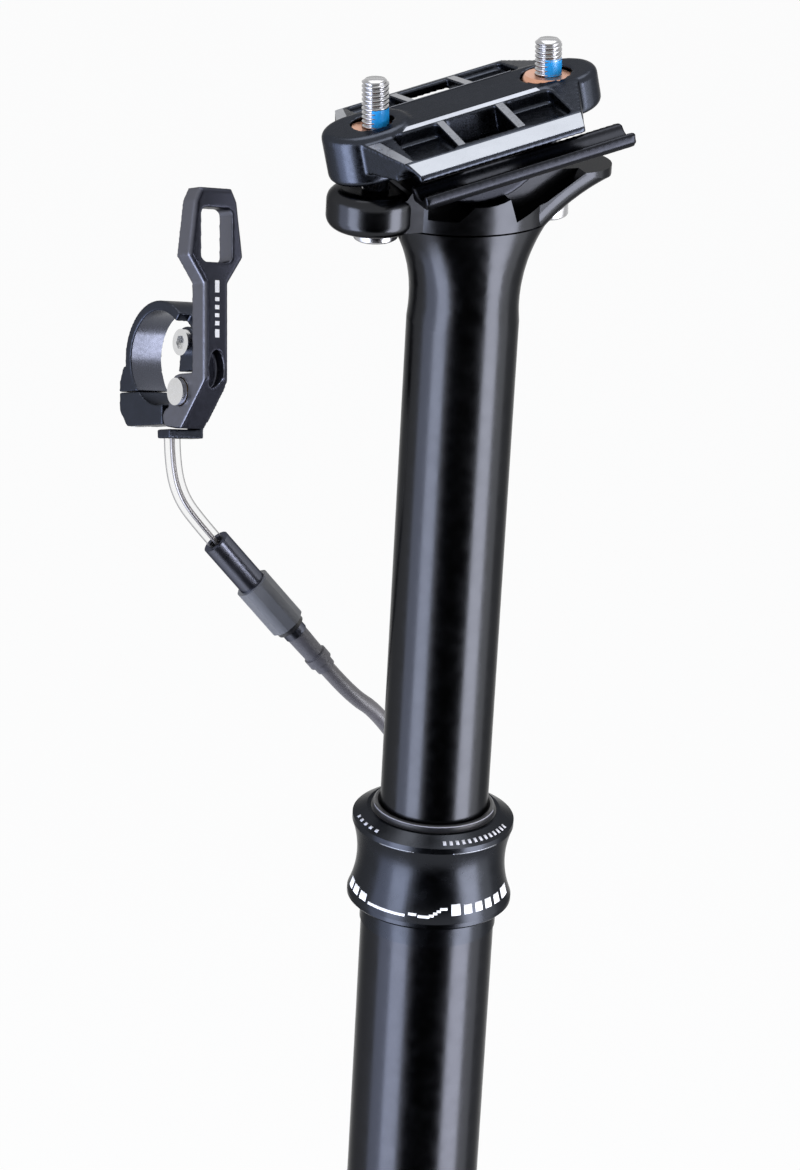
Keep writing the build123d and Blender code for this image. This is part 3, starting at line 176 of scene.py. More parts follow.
# Finishes: colour, roughness and further settings
gloss = dict(metal=1.0, edge_tint=0.5, vary=0.03, bump=0.0, grain=300.0)
cast = dict(metal=1.0, edge_tint=0.5, vary=0.10, bump=0.05)
even_grain = 150.0
joint = dict(metal=1.0, edge_tint=0.3, vary=0.05, grain=even_grain, bump=0.0)
jacket = dict(vary=0.05, grain=even_grain, bump=0.0)
wire = dict(metal=1.0, grain=even_grain, bump=0.0)
lock = dict(vary=0.3, grain=2500.0, bump=0.5)
finishes = {
    "black_tube": ((0.029, 0.030, 0.034), 0.22, gloss),
    "black_stanchion": ((0.029, 0.030, 0.033), 0.22, gloss),
    "black_collar": ((0.026, 0.028, 0.033), 0.25, gloss),
    "black_clamp": ((0.034, 0.038, 0.048), 0.27, cast),
    "black_cradle": ((0.020, 0.021, 0.025), 0.30, cast),
    "black_remote": ((0.036, 0.040, 0.052), 0.34, cast),
    "steel": ((0.62, 0.62, 0.62), 0.24, dict(metal=1.0, bump=0.1)),
    "bolt_steel": ((0.36, 0.36, 0.37), 0.22, dict(metal=1.0, bump=0.05)),
    "wire_steel": ((0.26, 0.25, 0.25), 0.35, wire),
    "copper_nuts": ((0.62, 0.33, 0.22), 0.32, dict(metal=1.0, bump=0.1)),
    "brass_keys": ((0.75, 0.56, 0.28), 0.32, dict(metal=1.0, bump=0.1)),
    "bare_aluminium": ((0.70, 0.71, 0.72), 0.32, dict(metal=1.0, bump=0.15)),
    "bearing_plastic": ((0.05, 0.05, 0.055), 0.5, {}),
    "seal_rubber": ((0.010, 0.010, 0.012), 0.40, dict(bump=0.1)),
    "joint_plastic": ((0.105, 0.110, 0.135), 0.30, joint),
    "grey_nut": ((0.085, 0.088, 0.098), 0.45, dict(bump=0.3)),
    "boot_rubber": ((0.058, 0.056, 0.064), 0.5, dict(bump=0.2)),
    "housing_jacket": ((0.068, 0.064, 0.068), 0.40, jacket),
    "tie_strap": ((0.02, 0.02, 0.022), 0.5, dict(bump=0.3)),
    "white_print": ((0.82, 0.82, 0.84), 0.5, dict(bump=0.1)),
    "dim_print": ((0.48, 0.48, 0.51), 0.5, dict(bump=0.1)),
    # Pale grey for a line along the wiper lip: a painted highlight
    "painted_lip_highlight": ((0.24, 0.24, 0.27), 0.5, dict(bump=0.1)),
    "thread_lock": ((0.01, 0.30, 0.72), 0.35, lock),
    # Pale grey metal for plates on the wings' bevels: a painted highlight
    "painted_bevel_highlight": ((0.17, 0.18, 0.20), 0.25, dict(metal=1.0, vary=0.12, bump=0.05)),
    # Lighter metal for a shell in the band's bore: a painted reflection
    "band_bore_painted_reflection": ((0.075, 0.080, 0.100), 0.28, dict(metal=1.0, vary=0.1, bump=0.03)),
    # Pale grey metal for plates and arcs on edges: a painted highlight
    "painted_edge_highlight": ((0.19, 0.20, 0.225), 0.30, dict(metal=1.0, vary=0.15, bump=0.05)),
}
cloud_share = 0.125
rough_spread_share = 0.15
bump_depth = 0.00002
noise_low = 0.3
noise_high = 0.7
liner_edge = (0.42, 0.80)
liner_cover = (0.04, 0.92)
liner_dark = (0.07, 0.068, 0.065)
liner_light = (0.12, 0.118, 0.115)
liner_cloud = 180.0
liner_grain = 600.0
liner_rough = (0.12, 0.2)
lever_tone = (0.040, 0.042, 0.056)
lever_rough = 0.34
# Painted light on the lever: a lighter colour for the flats that face along the bar, and the range over
# which it comes in
lever_painted_side_light = (0.115, 0.118, 0.140)
lever_painted_light_ramp = (0.45, 0.85)

# Thin pale plates on the clamp's wings, painted highlights, on one side: places along the clamp, across
# it and up
plate_thickness = 0.00008
plate_sunk_share = 1.5
plate_round_share = 0.5
wing_plates = {
    "wing_bevel_": ("painted_bevel_highlight", [
        (-0.02190, 0.02190, 0.00138),
        (-0.02080, 0.02560, -0.00040),
        (0.01770, 0.02560, -0.00040),
        (0.01880, 0.02190, 0.00138),
    ]),
    "wing_ridge_": ("painted_edge_highlight", [
        (-0.01600, 0.00710, 0.00408),
        (-0.01750, 0.00820, 0.00360),
        (0.01550, 0.00820, 0.00360),
        (0.01500, 0.00710, 0.00408),
    ]),
    "wing_front_": ("painted_edge_highlight", [
        (-0.0262, 0.0098, 0.0034),
        (-0.0225, 0.0212, 0.0016),
        (-0.0206, 0.0212, 0.0016),
        (-0.0235, 0.0098, 0.0034),
    ]),
}
# Pale bars across the wings, painted highlights: name and two places along the clamp
wing_bars = [("wing_front_bar_", -0.0095, -0.0079), ("wing_rear_bar_", 0.0045, 0.0063)]
wing_bar_inner = (0.00840, 0.00357)
wing_bar_outer = (0.02040, 0.00169)

# Nodes with rounded edges: the size of the new mesh's cells and how often it is relaxed
relax_factor = 0.5
rounded_nodes = {
    "upper_clamp": (0.00038, 5),
    "lower_cradle": (0.00038, 4),
    "remote_lever": (0.00028, 8),
    "remote_bracket": (0.00028, 5),
    "bar_band": (0.00028, 4),
}

# Remote: its centre and its directions out from the bar, up the lever and along the bar
remote_centre = Vector((-0.0465, 0.0628, 0.1228))
remote_out = Vector((0.290039, -0.899611, 0.326462))
remote_up = Vector((0.093813, 0.366209, 0.925792))
remote_bar = Vector((-0.952406, -0.237889, 0.19061))
lever_mark_out = 0.0236
lever_mark_sides = (0.0046, 0.0034)
lever_mark_thickness = 0.00004
lever_marks = [
    (0.0036, 0.0055),
    (0.0064, 0.0074),
    (0.0083, 0.0092),
    (0.0101, 0.0111),
    (0.0120, 0.0129),
    (0.0140, 0.0168),
]

# Smooth bore of the bar band, covered by a lighter shell that is a painted reflection: angles from the
# remote's outward direction
bore_start = 60.0
bore_end = 222.0
bore_steps = 108
bore_radius = 0.01098
bore_thickness = 0.0002
bore_half = 0.0042

# Print and painted highlights round the collar, with angles from the camera's side. A mark's row is its
# two angles
# and its two heights. A row of ticks is its first angle, its last one, its step, a tick's width and
# two places of radius and height
mark_lift = 0.00004
mark_steps = 14
tick_steps = 3
wiper_steps = 48
# A pale line along the wiper lip on the camera's side only, a painted highlight: two angles and two
# places of radius and height
painted_wiper_highlight = (-78.0, 78.0, (0.01428, 0.03005), (0.01424, 0.03030))
collar_marks = [
    (-82.0, -74.0, 0.0088, 0.0110),
    (-71.0, -63.0, 0.0088, 0.0108),
    (-60.0, -52.0, 0.0088, 0.0106),
    (-49.0, -17.0, 0.0087, 0.0093),
    (-14.5, -8.5, 0.0092, 0.0098),
    (-7.5, 1.0, 0.0089, 0.0095),
    (0.5, 4.0, 0.0092, 0.0098),
    (3.5, 6.5, 0.0097, 0.0103),
    (6.0, 9.0, 0.0102, 0.0108),
    (8.5, 14.0, 0.0107, 0.0113),
    (17.0, 24.0, 0.0094, 0.0120),
    (27.0, 33.5, 0.0094, 0.0116),
    (36.5, 43.0, 0.0094, 0.0116),
    (46.0, 52.5, 0.0094, 0.0116),
    (56.0, 63.0, 0.0094, 0.0116),
    (67.0, 78.0, 0.0094, 0.0119),
]
waist_points = [(0.0194, 0.0075), (0.0175, 0.0162), (0.0190, 0.0255)]
tick_rows = [
    (8, 70, 5, 2.4, (0.0182, 0.02745), (0.0172, 0.02807)),
    (-76, -44, 7, 3.0, (0.0183, 0.02739), (0.0176, 0.02782)),
]
# Pale arcs at the collar's rim, painted highlights: two angles each
painted_collar_edge_highlights = [(-40.0, -13.0), (15.0, 52.0)]
collar_edge_low = (0.01895, 0.02535)
collar_edge_high = (0.0190, 0.02565)

# Mesh detail
turn_steps = 48
cord_round_steps = 6
cord_run_steps = 8


# Materials
def new_material(name):
    material = bpy.data.materials.new(name)
    material.use_nodes = True
    nodes = material.node_tree.nodes
    nodes.clear()
    output = nodes.new("ShaderNodeOutputMaterial")
    shader = nodes.new("ShaderNodeBsdfPrincipled")
    material.node_tree.links.new(shader.outputs["BSDF"], output.inputs["Surface"])
    return material, nodes, material.node_tree.links, shader


def object_noise(nodes, links, scale, detail=3.0):
    """A noise that sticks to the object."""
    place = nodes.new("ShaderNodeTexCoord")
    texture = nodes.new("ShaderNodeTexNoise")
    texture.inputs["Scale"].default_value = scale
    texture.inputs["Detail"].default_value = detail
    links.new(place.outputs["Object"], texture.inputs["Vector"])
    return texture.outputs["Fac"]


def ramp(nodes, links, source, low, high, start=noise_low, end=noise_high):
    """Spreads a source between two values."""
    spread = nodes.new("ShaderNodeMapRange")
    spread.inputs["From Min"].default_value = start
    spread.inputs["From Max"].default_value = end
    spread.inputs["To Min"].default_value = low
    spread.inputs["To Max"].default_value = high
    links.new(source, spread.inputs["Value"])
    return spread.outputs["Result"]


def mix_colour(nodes, links, source, first, second):
    blend = nodes.new("ShaderNodeMix")
    blend.data_type = "RGBA"
    blend.inputs["A"].default_value = (*first, 1.0)
    blend.inputs["B"].default_value = (*second, 1.0)
    links.new(source, blend.inputs["Factor"])
    return blend.outputs["Result"]


def add_bump(nodes, links, shader, source, strength):
    bump = nodes.new("ShaderNodeBump")
    bump.inputs["Strength"].default_value = strength
    bump.inputs["Distance"].default_value = bump_depth
    links.new(source, bump.inputs["Height"])
    links.new(bump.outputs["Normal"], shader.inputs["Normal"])


def surface(name, colour, rough, metal=0.0, vary=0.15, grain=900.0, bump=0.15, edge_tint=None):
    """A finish with a slightly uneven colour and roughness and a fine grain."""
    material, nodes, links, shader = new_material(name)
    cloud = object_noise(nodes, links, grain * cloud_share)
    fine = object_noise(nodes, links, grain, detail=2.0)
    dark = tuple(channel * (1 - vary) for channel in colour)
    light = tuple(channel * (1 + vary) for channel in colour)
    links.new(mix_colour(nodes, links, cloud, dark, light), shader.inputs["Base Color"])
    smooth = rough * (1 - rough_spread_share)
    coarse = rough * (1 + rough_spread_share)
    links.new(ramp(nodes, links, fine, smooth, coarse), shader.inputs["Roughness"])
    shader.inputs["Metallic"].default_value = metal
    if edge_tint is not None:
        shader.inputs["Specular Tint"].default_value = (edge_tint, edge_tint, edge_tint, 1.0)
    if bump > 0:
        add_bump(nodes, links, shader, fine, bump)
    return material


def make_materials():
    made = {}
    for name, (colour, rough, more) in finishes.items():
        made[name] = surface(name, colour, rough, **more)
    made["black_lever"] = make_lever_material()
    made["clear_liner"] = make_clear_material()
    return made


def make_clear_material():
    """A clear tube that shows as thin grey lines at its edges."""
    material, nodes, links, shader = new_material("clear_liner")
    facing = nodes.new("ShaderNodeLayerWeight")
    start, end = liner_edge
    cover = ramp(nodes, links, facing.outputs["Facing"], *liner_cover, start=start, end=end)
    links.new(cover, shader.inputs["Alpha"])
    cloud = object_noise(nodes, links, liner_cloud)
    links.new(mix_colour(nodes, links, cloud, liner_dark, liner_light), shader.inputs["Base Color"])
    fine = object_noise(nodes, links, liner_grain)
    links.new(ramp(nodes, links, fine, *liner_rough), shader.inputs["Roughness"])
    return material


def make_lever_material():
    """The lever's finish with painted light: lighter on the flats that face along the bar."""
    material = surface("black_lever", lever_tone, lever_rough, **cast)
    nodes, links = material.node_tree.nodes, material.node_tree.links
    shader = next(node for node in nodes if node.type == "BSDF_PRINCIPLED")
    base = shader.inputs["Base Color"].links[0].from_socket
    place = nodes.new("ShaderNodeTexCoord")
    turn = nodes.new("ShaderNodeVectorMath")
    turn.operation = "DOT_PRODUCT"
    turn.inputs[1].default_value = remote_bar
    links.new(place.outputs["Normal"], turn.inputs[0])
    # Mixes in the lighter colour on flats facing along the bar: painted light
    blend = nodes.new("ShaderNodeMix")
    blend.data_type = "RGBA"
    links.new(base, blend.inputs["A"])
    blend.inputs["B"].default_value = (*lever_painted_side_light, 1.0)
    start, end = lever_painted_light_ramp
    side = ramp(nodes, links, turn.outputs["Value"], 0.0, 1.0, start=start, end=end)
    links.new(side, blend.inputs["Factor"])
    links.new(blend.outputs["Result"], shader.inputs["Base Color"])
    return material


# Frames of the saddle clamp and of the remote
clamp_turn = math.radians(clamp_tilt)
clamp_along = Vector((math.cos(clamp_turn), 0.0, -math.sin(clamp_turn)))
clamp_up = Vector((math.sin(clamp_turn), 0.0, math.cos(clamp_turn)))
clamp_across = Vector((0.0, 1.0, 0.0))
bolt_turn = math.radians(bolt_lean)
bolt_up = Vector((-math.sin(bolt_turn), 0.0, math.cos(bolt_turn)))


def clamp_point(along, across, up):
    return clamp_centre + clamp_along * along + clamp_across * across + clamp_up * up


def remote_point(out, up, along):
    return remote_centre + remote_out * out + remote_up * up + remote_bar * along


def facing_point(radius, height, angle):
    """A point on a circle about the post, with its angle from the camera's side."""
    turn = math.radians(camera_heading + angle)
    return Vector((radius * math.sin(turn), -radius * math.cos(turn), height))


# Mesh helpers
def add_mesh(name, vertices, faces, material, smooth=True):
    mesh = bpy.data.meshes.new(name)
    mesh.from_pydata([tuple(vertex) for vertex in vertices], [], faces)
    mesh.validate()
    mesh.update()
    for polygon in mesh.polygons:
        polygon.use_smooth = smooth
    mesh.materials.append(material)
    piece = bpy.data.objects.new(name, mesh)
    bpy.context.scene.collection.objects.link(piece)
    return piece


def soften(node, voxel, steps):
    """A copy of a rigid node with rounded edges, which stands for it."""
    source = frame["nodes"][node]
    copy = bpy.data.objects.new(node + "_rounded", source.data.copy())
    copy.matrix_world = source.matrix_world.copy()
    bpy.context.scene.collection.objects.link(copy)
    remesh = copy.modifiers.new("remesh", "REMESH")
    remesh.mode = "VOXEL"
    remesh.voxel_size = voxel
    remesh.use_smooth_shade = True
    relax = copy.modifiers.new("relax", "SMOOTH")
    relax.factor = relax_factor
    relax.iterations = steps
    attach(copy, body_of(source)[0])
    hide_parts(node)


def turned_mesh(name, rows, centre, axis, material):
    """A turned piece: each row is its height and its radius or how that changes round the piece."""
    side = axis.orthogonal().normalized()
    other = axis.cross(side)
    vertices = []
    for height, radius in rows:
        for step in range(turn_steps):
            angle = 2 * math.pi * step / turn_steps
            reach = radius(angle, height) if callable(radius) else radius
            out = side * math.cos(angle) + other * math.sin(angle)
            vertices.append(centre + axis * height + out * reach)
    faces = []
    for row in range(len(rows) - 1):
        for step in range(turn_steps):
            following = (step + 1) % turn_steps
            low, high = row * turn_steps, (row + 1) * turn_steps
            faces.append((low + step, low + following, high + following, high + step))
    faces.append(tuple(reversed(range(turn_steps))))
    last = (len(rows) - 1) * turn_steps
    faces.append(tuple(range(last, last + turn_steps)))
    return add_mesh(name, vertices, faces, material)


def add_plate(name, corners, thickness, material, body):
    """A thin plate with rounded edges on four corners."""
    first, second, third = corners[:3]
    normal = (second - first).cross(third - first).normalized()
    low = [corner - normal * thickness * plate_sunk_share for corner in corners]
    high = [corner + normal * thickness for corner in corners]
    sides = [(step, (step + 1) % 4, (step + 1) % 4 + 4, step + 4) for step in range(4)]
    faces = [(3, 2, 1, 0), (4, 5, 6, 7)] + sides
    plate = add_mesh(name, low + high, faces, material, smooth=False)
    bevel = plate.modifiers.new("bevel", "BEVEL")
    bevel.width = thickness * plate_round_share
    bevel.segments = 2
    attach(plate, body)


def add_arc_mark(name, start, end, low, high, material, steps=mark_steps):
    """A thin raised mark round the post between two angles and two places of radius and height."""
    vertices = []
    for reach in (-mark_lift, mark_lift):
        for radius, height in (low, high):
            for step in range(steps + 1):
                angle = start + (end - start) * step / steps
                vertices.append(facing_point(radius + reach, height, angle))
    row = steps + 1
    faces = []
    for step in range(steps):
        inner_low, inner_high, outer_low, outer_high = (step + row * line for line in range(4))
        faces.append((inner_low, inner_high, inner_high + 1, inner_low + 1))
        faces.append((outer_low, outer_low + 1, outer_high + 1, outer_high))
        faces.append((inner_low, inner_low + 1, outer_low + 1, outer_low))
        faces.append((inner_high, outer_high, outer_high + 1, inner_high + 1))
    faces.append((0, 2 * row, 3 * row, row))
    faces.append((steps, row + steps, 3 * row + steps, 2 * row + steps))
    mark = add_mesh(name, vertices, faces, material)
    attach(mark, "outer")


# Cords
def add_cord(name, points, diameter, material):
    """A round cord whose control points are those of its route."""
    curve = bpy.data.curves.new(name, "CURVE")
    curve.dimensions = "3D"
    curve.bevel_depth = diameter / 2
    curve.bevel_resolution = cord_round_steps
    curve.resolution_u = cord_run_steps
    curve.use_fill_caps = True
    spline = curve.splines.new("NURBS")
    spline.points.add(len(points) - 1)
    for place, point in zip(spline.points, points):
        place.co = (*point, 1.0)
    spline.order_u = 3
    spline.use_endpoint_u = True
    cord = bpy.data.objects.new(name, curve)
    bpy.context.scene.collection.objects.link(cord)
    curve.materials.append(material)
    return cord


def coil_point(side, depth, height):
    """A point beside the post in the coil's own directions."""
    turn = math.radians(coil_facing)
    x = side * math.cos(turn) - depth * math.sin(turn)
    y = side * math.sin(turn) + depth * math.cos(turn)
    return Vector((x, y, coil_height + height))


def coil_steps():
    """How each half turn changes the radius and the layer."""
    narrow_step = coil_pitch - coil_wide_step
    steps = []
    for layer in range(coil_layers):
        sign = 1 if layer % 2 else -1
        count = coil_layer_half_turns + (layer == coil_layers - 1)
        for index in range(count):
            size = narrow_step if index % 2 else coil_wide_step
            steps.append((sign * size, 0.0))
        if layer < coil_layers - 1:
            steps.append((0.0, coil_pitch))
    return steps


def coil_route():
    """The coil's points, eight on each half turn and a straight tail at both ends."""
    radius = coil_inner_radius + coil_wide_step + coil_pitch
    start = (-radius, coil_depth)
    route = [coil_point(*start, coil_tail + housing_lead)]
    half_angle = math.pi / (2 * coil_points)
    for index, (growth, climb) in enumerate(coil_steps()):
        radius += growth
        end = (radius if index % 2 == 0 else -radius, start[1] - climb)
        reach = math.hypot(end[0] - start[0], end[1] - start[1]) / 2 / math.cos(half_angle)
        sign = -1 if index % 2 == 0 else 1
        for step in range(coil_points):
            angle = math.pi * (step + 0.5) / coil_points
            share = (1 - math.cos(angle) / math.cos(half_angle)) / 2
            side = start[0] + (end[0] - start[0]) * share
            depth = start[1] + (end[1] - start[1]) * share
            route.append(coil_point(side, depth, sign * reach * math.sin(angle)))
        start = end
    route.append(coil_point(*start, -coil_tail - return_lead))
    return route


def make_cords(materials):
    liner = add_cord("clear_liner_tube", liner_route, liner_diameter, materials["clear_liner"])
    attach(liner, "outer")
    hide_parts("cable_liner")
    wire = add_cord("inner_wire", [wire_start] + liner_route[1:], wire_diameter, materials["wire_steel"])
    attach(wire, "outer")
    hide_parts("upper_wire")
    leaving = joint_end + joint_axis * boot_lead
    route = [joint_end, leaving] + housing_route + coil_route() + return_route
    housing = add_cord("cable_housing", route, housing_diameter, materials["housing_jacket"])
    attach(housing, "outer")
    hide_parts("housing_upper", "housing_coil", "housing_lower")


# Clamp bolts with their thread
def thread_radius(angle, height):
    """The thread's radius at an angle and a height, between its root and its crest."""
    phase = (height / thread_pitch - angle / (2 * math.pi)) % 1.0
    rise = 1.0 - abs(2.0 * phase - 1.0)
    return thread_root + (bolt_radius - thread_root) * min(1.0, rise * thread_flank)


def hex_radius(angle, height):
    """The radius of the bolt's hexagon socket at an angle."""
    sixth = math.pi / 3
    return socket_half_width / math.cos((angle + sixth / 2) % sixth - sixth / 2)


def bolt_rows(depth, above):
    """The heights and radii of a socket head bolt from its socket's floor to its tip."""
    foot = -depth - head_height
    inset = head_radius - head_round / 4
    rows = [
        (foot + socket_depth, hex_radius),
        (foot, hex_radius),
        (foot, head_radius - head_round),
        (foot + head_round / 2, inset),
        (foot + head_round, head_radius),
        (-depth - head_round, head_radius),
        (-depth - head_round / 2, inset),
        (-depth, head_radius - head_round),
        (-depth, bolt_radius),
        (thread_start, bolt_radius),
    ]
    length = above - thread_start - bolt_tip
    count = round(length / thread_pitch * thread_steps)
    for step in range(count + 1):
        rows.append((thread_start + length * step / count, thread_radius))
    rows.append((above - bolt_tip / 2, thread_root))
    rows.append((above, thread_root - bolt_tip / 2))
    return rows


def make_bolts(materials):
    for name, along, depth, above, blue in bolts:
        centre = clamp_centre + clamp_along * along
        bolt = turned_mesh(name, bolt_rows(depth, above), centre, bolt_up, materials["bolt_steel"])
        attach(bolt, "stanchion")
        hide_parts("clamp_bolts")
        add_thread_lock(name + "_thread_lock", centre, blue, materials["thread_lock"])


def lock_reach(share, row, height):
    """How far the dried thread-lock stands out at a place of its patch."""
    wave = noise.noise(Vector((share * lock_wave_round, height * lock_wave_up, lock_seed)))
    side = lock_side_fade * min(share, 1.0 - share, row / lock_rows)
    edge = min(1.0, side, lock_top_fade * (1.0 - row / lock_rows))
    return bolt_radius + lock_thickness * (edge * (1.0 + lock_wave_share * wave) - 1.0 + edge)


def add_thread_lock(name, centre, blue, material):
    """The dried thread-lock on one side of a bolt, thicker in the middle of its patch."""
    low, high = blue
    vertices = []
    for row in range(lock_rows + 1):
        height = low + (high - low) * row / lock_rows
        for step in range(lock_steps + 1):
            share = step / lock_steps
            angle = math.radians(camera_heading + lock_start + (lock_end - lock_start) * share)
            out = Vector((math.sin(angle), -math.cos(angle), 0.0))
            out = (out - bolt_up * out.dot(bolt_up)).normalized()
            reach = lock_reach(share, row, height)
            vertices.append(centre + bolt_up * height + out * reach)
    row_size = lock_steps + 1
    faces = []
    for row in range(lock_rows):
        for step in range(lock_steps):
            corner = row * row_size + step
            faces.append((corner, corner + 1, corner + row_size + 1, corner + row_size))
    patch = add_mesh(name, vertices, faces, material)
    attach(patch, "stanchion")


# Painted highlights: pale plates on the clamp's edges
def wing_bar_corners(start, end):
    """The corners of a plate across a wing, between two places along the clamp."""
    inner = [(start, *wing_bar_inner), (end, *wing_bar_inner)]
    outer = [(start, *wing_bar_outer), (end, *wing_bar_outer)]
    return [inner[0], outer[0], outer[1], inner[1]]


def make_clamp_details(materials):
    rows = [(label, finish, places) for label, (finish, places) in wing_plates.items()]
    for label, start, end in wing_bars:
        rows.append((label, "painted_edge_highlight", wing_bar_corners(start, end)))
    for side, name in ((-1, "near"), (1, "far")):
        for label, finish, places in rows:
            corners = [clamp_point(along, side * across, up) for along, across, up in places]
            if side > 0:
                corners.reverse()
            # Each plate is pale: a painted highlight
            material = materials[finish]
            add_plate(label + name, corners, plate_thickness, material, "saddle_clamp")


# Print on the collar and the lever, painted highlights on the collar, and a painted reflection in the
# band's bore
def waist_circle():
    """The centre and the radius of the arc through the waist's three points."""
    first, middle, last = (Vector(point) for point in waist_points)
    half, whole = middle - first, last - first
    turn = 2 * half.cross(whole)
    across = (whole.y * half.dot(half) - half.y * whole.dot(whole)) / turn
    up = (half.x * whole.dot(whole) - whole.x * half.dot(half)) / turn
    return first + Vector((across, up)), math.hypot(across, up)


def flare_radius(height):
    """The collar's radius at a height on the arc of its waist."""
    centre, reach = waist_circle()
    return centre.x - math.sqrt(reach ** 2 - (height - centre.y) ** 2)


def make_collar_marks(materials):
    start, end, low, high = painted_wiper_highlight
    pale = materials["painted_lip_highlight"]
    # A pale arc along the wiper lip, on the camera's side only: a painted highlight
    add_arc_mark("wiper_shine", start, end, low, high, pale, steps=wiper_steps)
    rows = []
    for start, end, low, high in collar_marks:
        places = (flare_radius(low), low), (flare_radius(high), high)
        rows.append((start, end, *places, "white_print", mark_steps))
    for first, last, gap, width, low, high in tick_rows:
        for start in range(first, last, gap):
            rows.append((start, start + width, low, high, "dim_print", tick_steps))
    # Pale arcs at the collar's rim: painted highlights
    for start, end in painted_collar_edge_highlights:
        rows.append((start, end, collar_edge_low, collar_edge_high, "painted_edge_highlight", mark_steps))
    for number, (start, end, low, high, finish, steps) in enumerate(rows, 1):
        add_arc_mark("collar_mark_%d" % number, start, end, low, high, materials[finish], steps=steps)


def make_band_bore(materials):
    """The smooth bore of the bar band as a thin, lighter shell: a painted reflection."""
    vertices, faces = [], []
    for step in range(bore_steps + 1):
        angle = math.radians(bore_start + (bore_end - bore_start) * step / bore_steps)
        for reach in (bore_radius, bore_radius + bore_thickness):
            for along in (-bore_half, bore_half):
                vertices.append(remote_point(reach * math.cos(angle), reach * math.sin(angle), along))
    for step in range(bore_steps):
        first, second = 4 * step, 4 * step + 4
        faces.append((first, first + 1, second + 1, second))
        faces.append((first + 2, second + 2, second + 3, first + 3))
        faces.append((first, second, second + 2, first + 2))
        faces.append((first + 1, first + 3, second + 3, second + 1))
    last = 4 * bore_steps
    faces += [(0, 2, 3, 1), (last, last + 1, last + 3, last + 2)]
    bore = add_mesh("band_bore_painted_reflection", vertices, faces, materials["band_bore_painted_reflection"], smooth=False)
    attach(bore, "band")


def make_lever_marks(materials):
    first, second = lever_mark_sides
    for number, (low, high) in enumerate(lever_marks, 1):
        corners = [
            remote_point(lever_mark_out, low, first),
            remote_point(lever_mark_out, low, second),
            remote_point(lever_mark_out, high, second),
            remote_point(lever_mark_out, high, first),
        ]
        material = materials["white_print"]
        add_plate("lever_mark_%d" % number, corners, lever_mark_thickness, material, "lever")


# Stage, lamps and camera
def add_camera():
    turn = math.radians(camera_heading)
    rise = math.radians(camera_height)
    roll = math.radians(camera_roll)
    back = Vector((math.sin(turn) * math.cos(rise), -math.cos(turn) * math.cos(rise), math.sin(rise)))
    level = Vector((math.cos(turn), math.sin(turn), 0.0))
    upright = back.cross(level)
    right = level * math.cos(roll) - upright * math.sin(roll)
    up = back.cross(right)
    data = bpy.data.cameras.new("camera")
    data.lens = camera_lens
    data.sensor_width = camera_sensor
    camera = bpy.data.objects.new("camera", data)
    place = camera_target + back * camera_distance
    turned = Matrix((right, up, back)).transposed().to_4x4()
    camera.matrix_world = Matrix.Translation(place) @ turned
    bpy.context.scene.collection.objects.link(camera)
    bpy.context.scene.camera = camera


def white_to_eye(tree):
    """One where a camera, glossy or transmission ray looks."""
    path = tree.nodes.new("ShaderNodeLightPath")
    first = tree.nodes.new("ShaderNodeMath")
    first.operation = "MAXIMUM"
    second = tree.nodes.new("ShaderNodeMath")
    second.operation = "MAXIMUM"
    tree.links.new(path.outputs["Is Camera Ray"], first.inputs[0])
    tree.links.new(path.outputs["Is Glossy Ray"], first.inputs[1])
    tree.links.new(first.outputs["Value"], second.inputs[0])
    tree.links.new(path.outputs["Is Transmission Ray"], second.inputs[1])
    return second.outputs["Value"]


def make_world():
    world = bpy.data.worlds.new("studio")
    world.use_nodes = True
    tree = world.node_tree
    tree.nodes.clear()
    output = tree.nodes.new("ShaderNodeOutputWorld")
    blend = tree.nodes.new("ShaderNodeMixShader")
    plain = tree.nodes.new("ShaderNodeBackground")
    plain.inputs["Color"].default_value = air_colour
    plain.inputs["Strength"].default_value = air_strength
    seen = tree.nodes.new("ShaderNodeBackground")
    tree.links.new(white_to_eye(tree), blend.inputs["Fac"])
    tree.links.new(plain.outputs["Background"], blend.inputs[1])
    seen.inputs["Color"].default_value = white
    tree.links.new(seen.outputs["Background"], blend.inputs[2])
    tree.links.new(blend.outputs["Shader"], output.inputs["Surface"])
    bpy.context.scene.world = world


def make_floor():
    half = floor_half
    corners = [(-half, -half), (half, -half), (half, half), (-half, half)]
    vertices = [(x, y, floor_height) for x, y in corners]
    material = bpy.data.materials.new("floor")
    material.use_nodes = True
    tree = material.node_tree
    tree.nodes.clear()
    output = tree.nodes.new("ShaderNodeOutputMaterial")
    paper = tree.nodes.new("ShaderNodeBsdfDiffuse")
    paper.inputs["Color"].default_value = (floor_tone, floor_tone, floor_tone, 1.0)
    glow = tree.nodes.new("ShaderNodeEmission")
    glow.inputs["Color"].default_value = white
    blend = tree.nodes.new("ShaderNodeMixShader")
    share = tree.nodes.new("ShaderNodeMath")
    share.operation = "MULTIPLY"
    share.inputs[1].default_value = floor_glow_share
    tree.links.new(white_to_eye(tree), share.inputs[0])
    tree.links.new(share.outputs["Value"], blend.inputs["Fac"])
    tree.links.new(paper.outputs["BSDF"], blend.inputs[1])
    tree.links.new(glow.outputs["Emission"], blend.inputs[2])
    tree.links.new(blend.outputs["Shader"], output.inputs["Surface"])
    floor = add_mesh("floor", vertices, [(0, 1, 2, 3)], material, smooth=False)


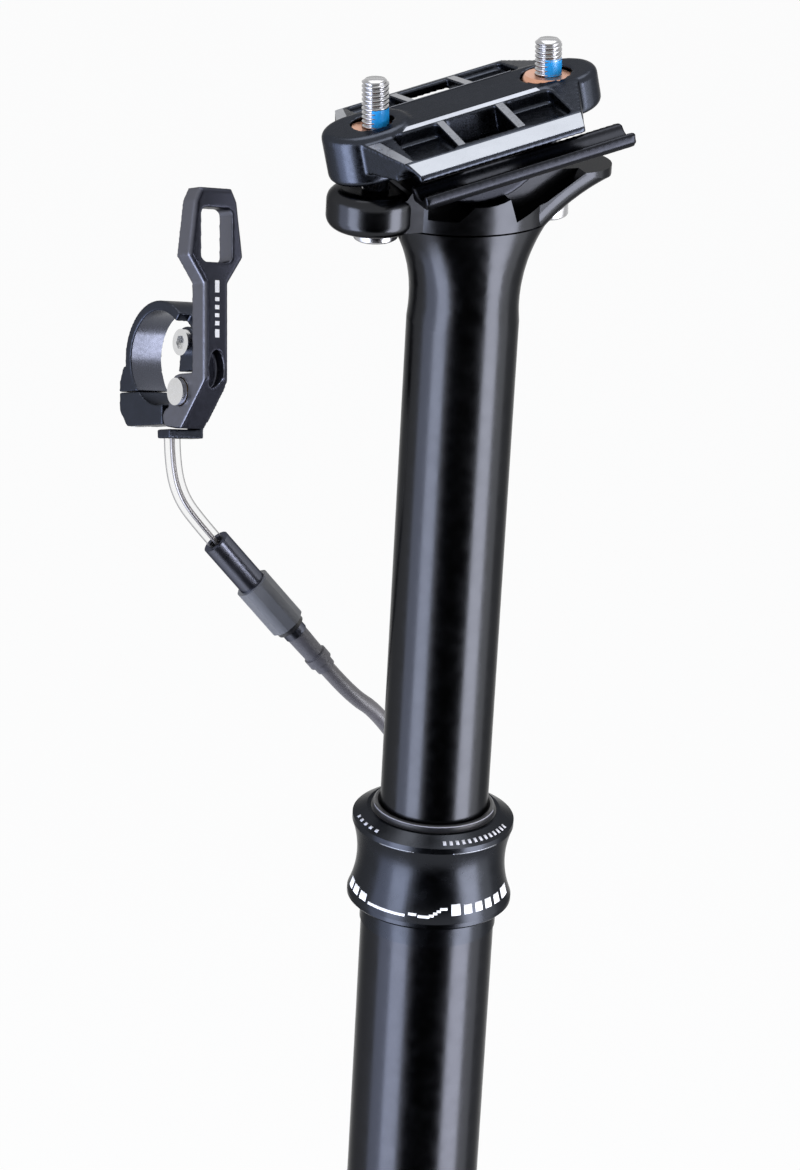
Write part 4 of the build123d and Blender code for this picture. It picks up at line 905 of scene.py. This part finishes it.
def add_lamp(name, heading, height, distance, width, tall, radiance, colour):
    """A soft panel that faces the post, placed by its heading from the camera's side."""
    turn = math.radians(camera_heading + heading)
    rise = math.radians(height)
    out = Vector((math.sin(turn) * math.cos(rise), -math.cos(turn) * math.cos(rise), math.sin(rise)))
    data = bpy.data.lights.new(name, "AREA")
    data.shape = "RECTANGLE"
    data.size = width
    data.size_y = tall
    data.energy = radiance * math.pi * width * tall
    data.color = colour
    lamp = bpy.data.objects.new(name, data)
    lamp.location = lamp_aim + out * distance
    lamp.rotation_mode = "QUATERNION"
    lamp.rotation_quaternion = out.to_track_quat("Z", "Y")
    bpy.context.scene.collection.objects.link(lamp)


def add_card():
    """A dark card that only reflections see, as a studio puts one in front of gloss black."""
    turn = math.radians(camera_heading + card_heading)
    half = card_ring * math.tan(math.radians(card_spread))
    out = Vector((math.sin(turn), -math.cos(turn), 0.0))
    side = Vector((math.cos(turn), math.sin(turn), 0.0))
    low, high = Vector((0.0, 0.0, card_low)), Vector((0.0, 0.0, card_high))
    left, right = out * card_ring - side * half, out * card_ring + side * half
    vertices = [left + low, right + low, right + high, left + high]
    material, nodes, links, shader = new_material("front_card")
    shader.inputs["Base Color"].default_value = (0.0, 0.0, 0.0, 1.0)
    shader.inputs["Specular IOR Level"].default_value = 0.0
    card = add_mesh("front_card", vertices, [(0, 1, 2, 3)], material, smooth=False)
    card.visible_camera = False
    card.visible_diffuse = False
    card.visible_transmission = False
    card.visible_shadow = False


def make_studio():
    bpy.context.scene.view_settings.view_transform = "Standard"
    make_world()
    make_floor()
    for row in lamps:
        add_lamp(*row)
    add_card()


add_camera()
materials = make_materials()
make_cords(materials)
slots = {row["node"]: row["material_slot"] for row in frame["record"]["subparts"]}
for node, piece in frame["nodes"].items():
    piece.data.materials.clear()
    piece.data.materials.append(materials[slots[node]])
for node, (voxel, steps) in rounded_nodes.items():
    soften(node, voxel, steps)
make_bolts(materials)
make_clamp_details(materials)
make_collar_marks(materials)
make_lever_marks(materials)
make_band_bore(materials)
make_studio()
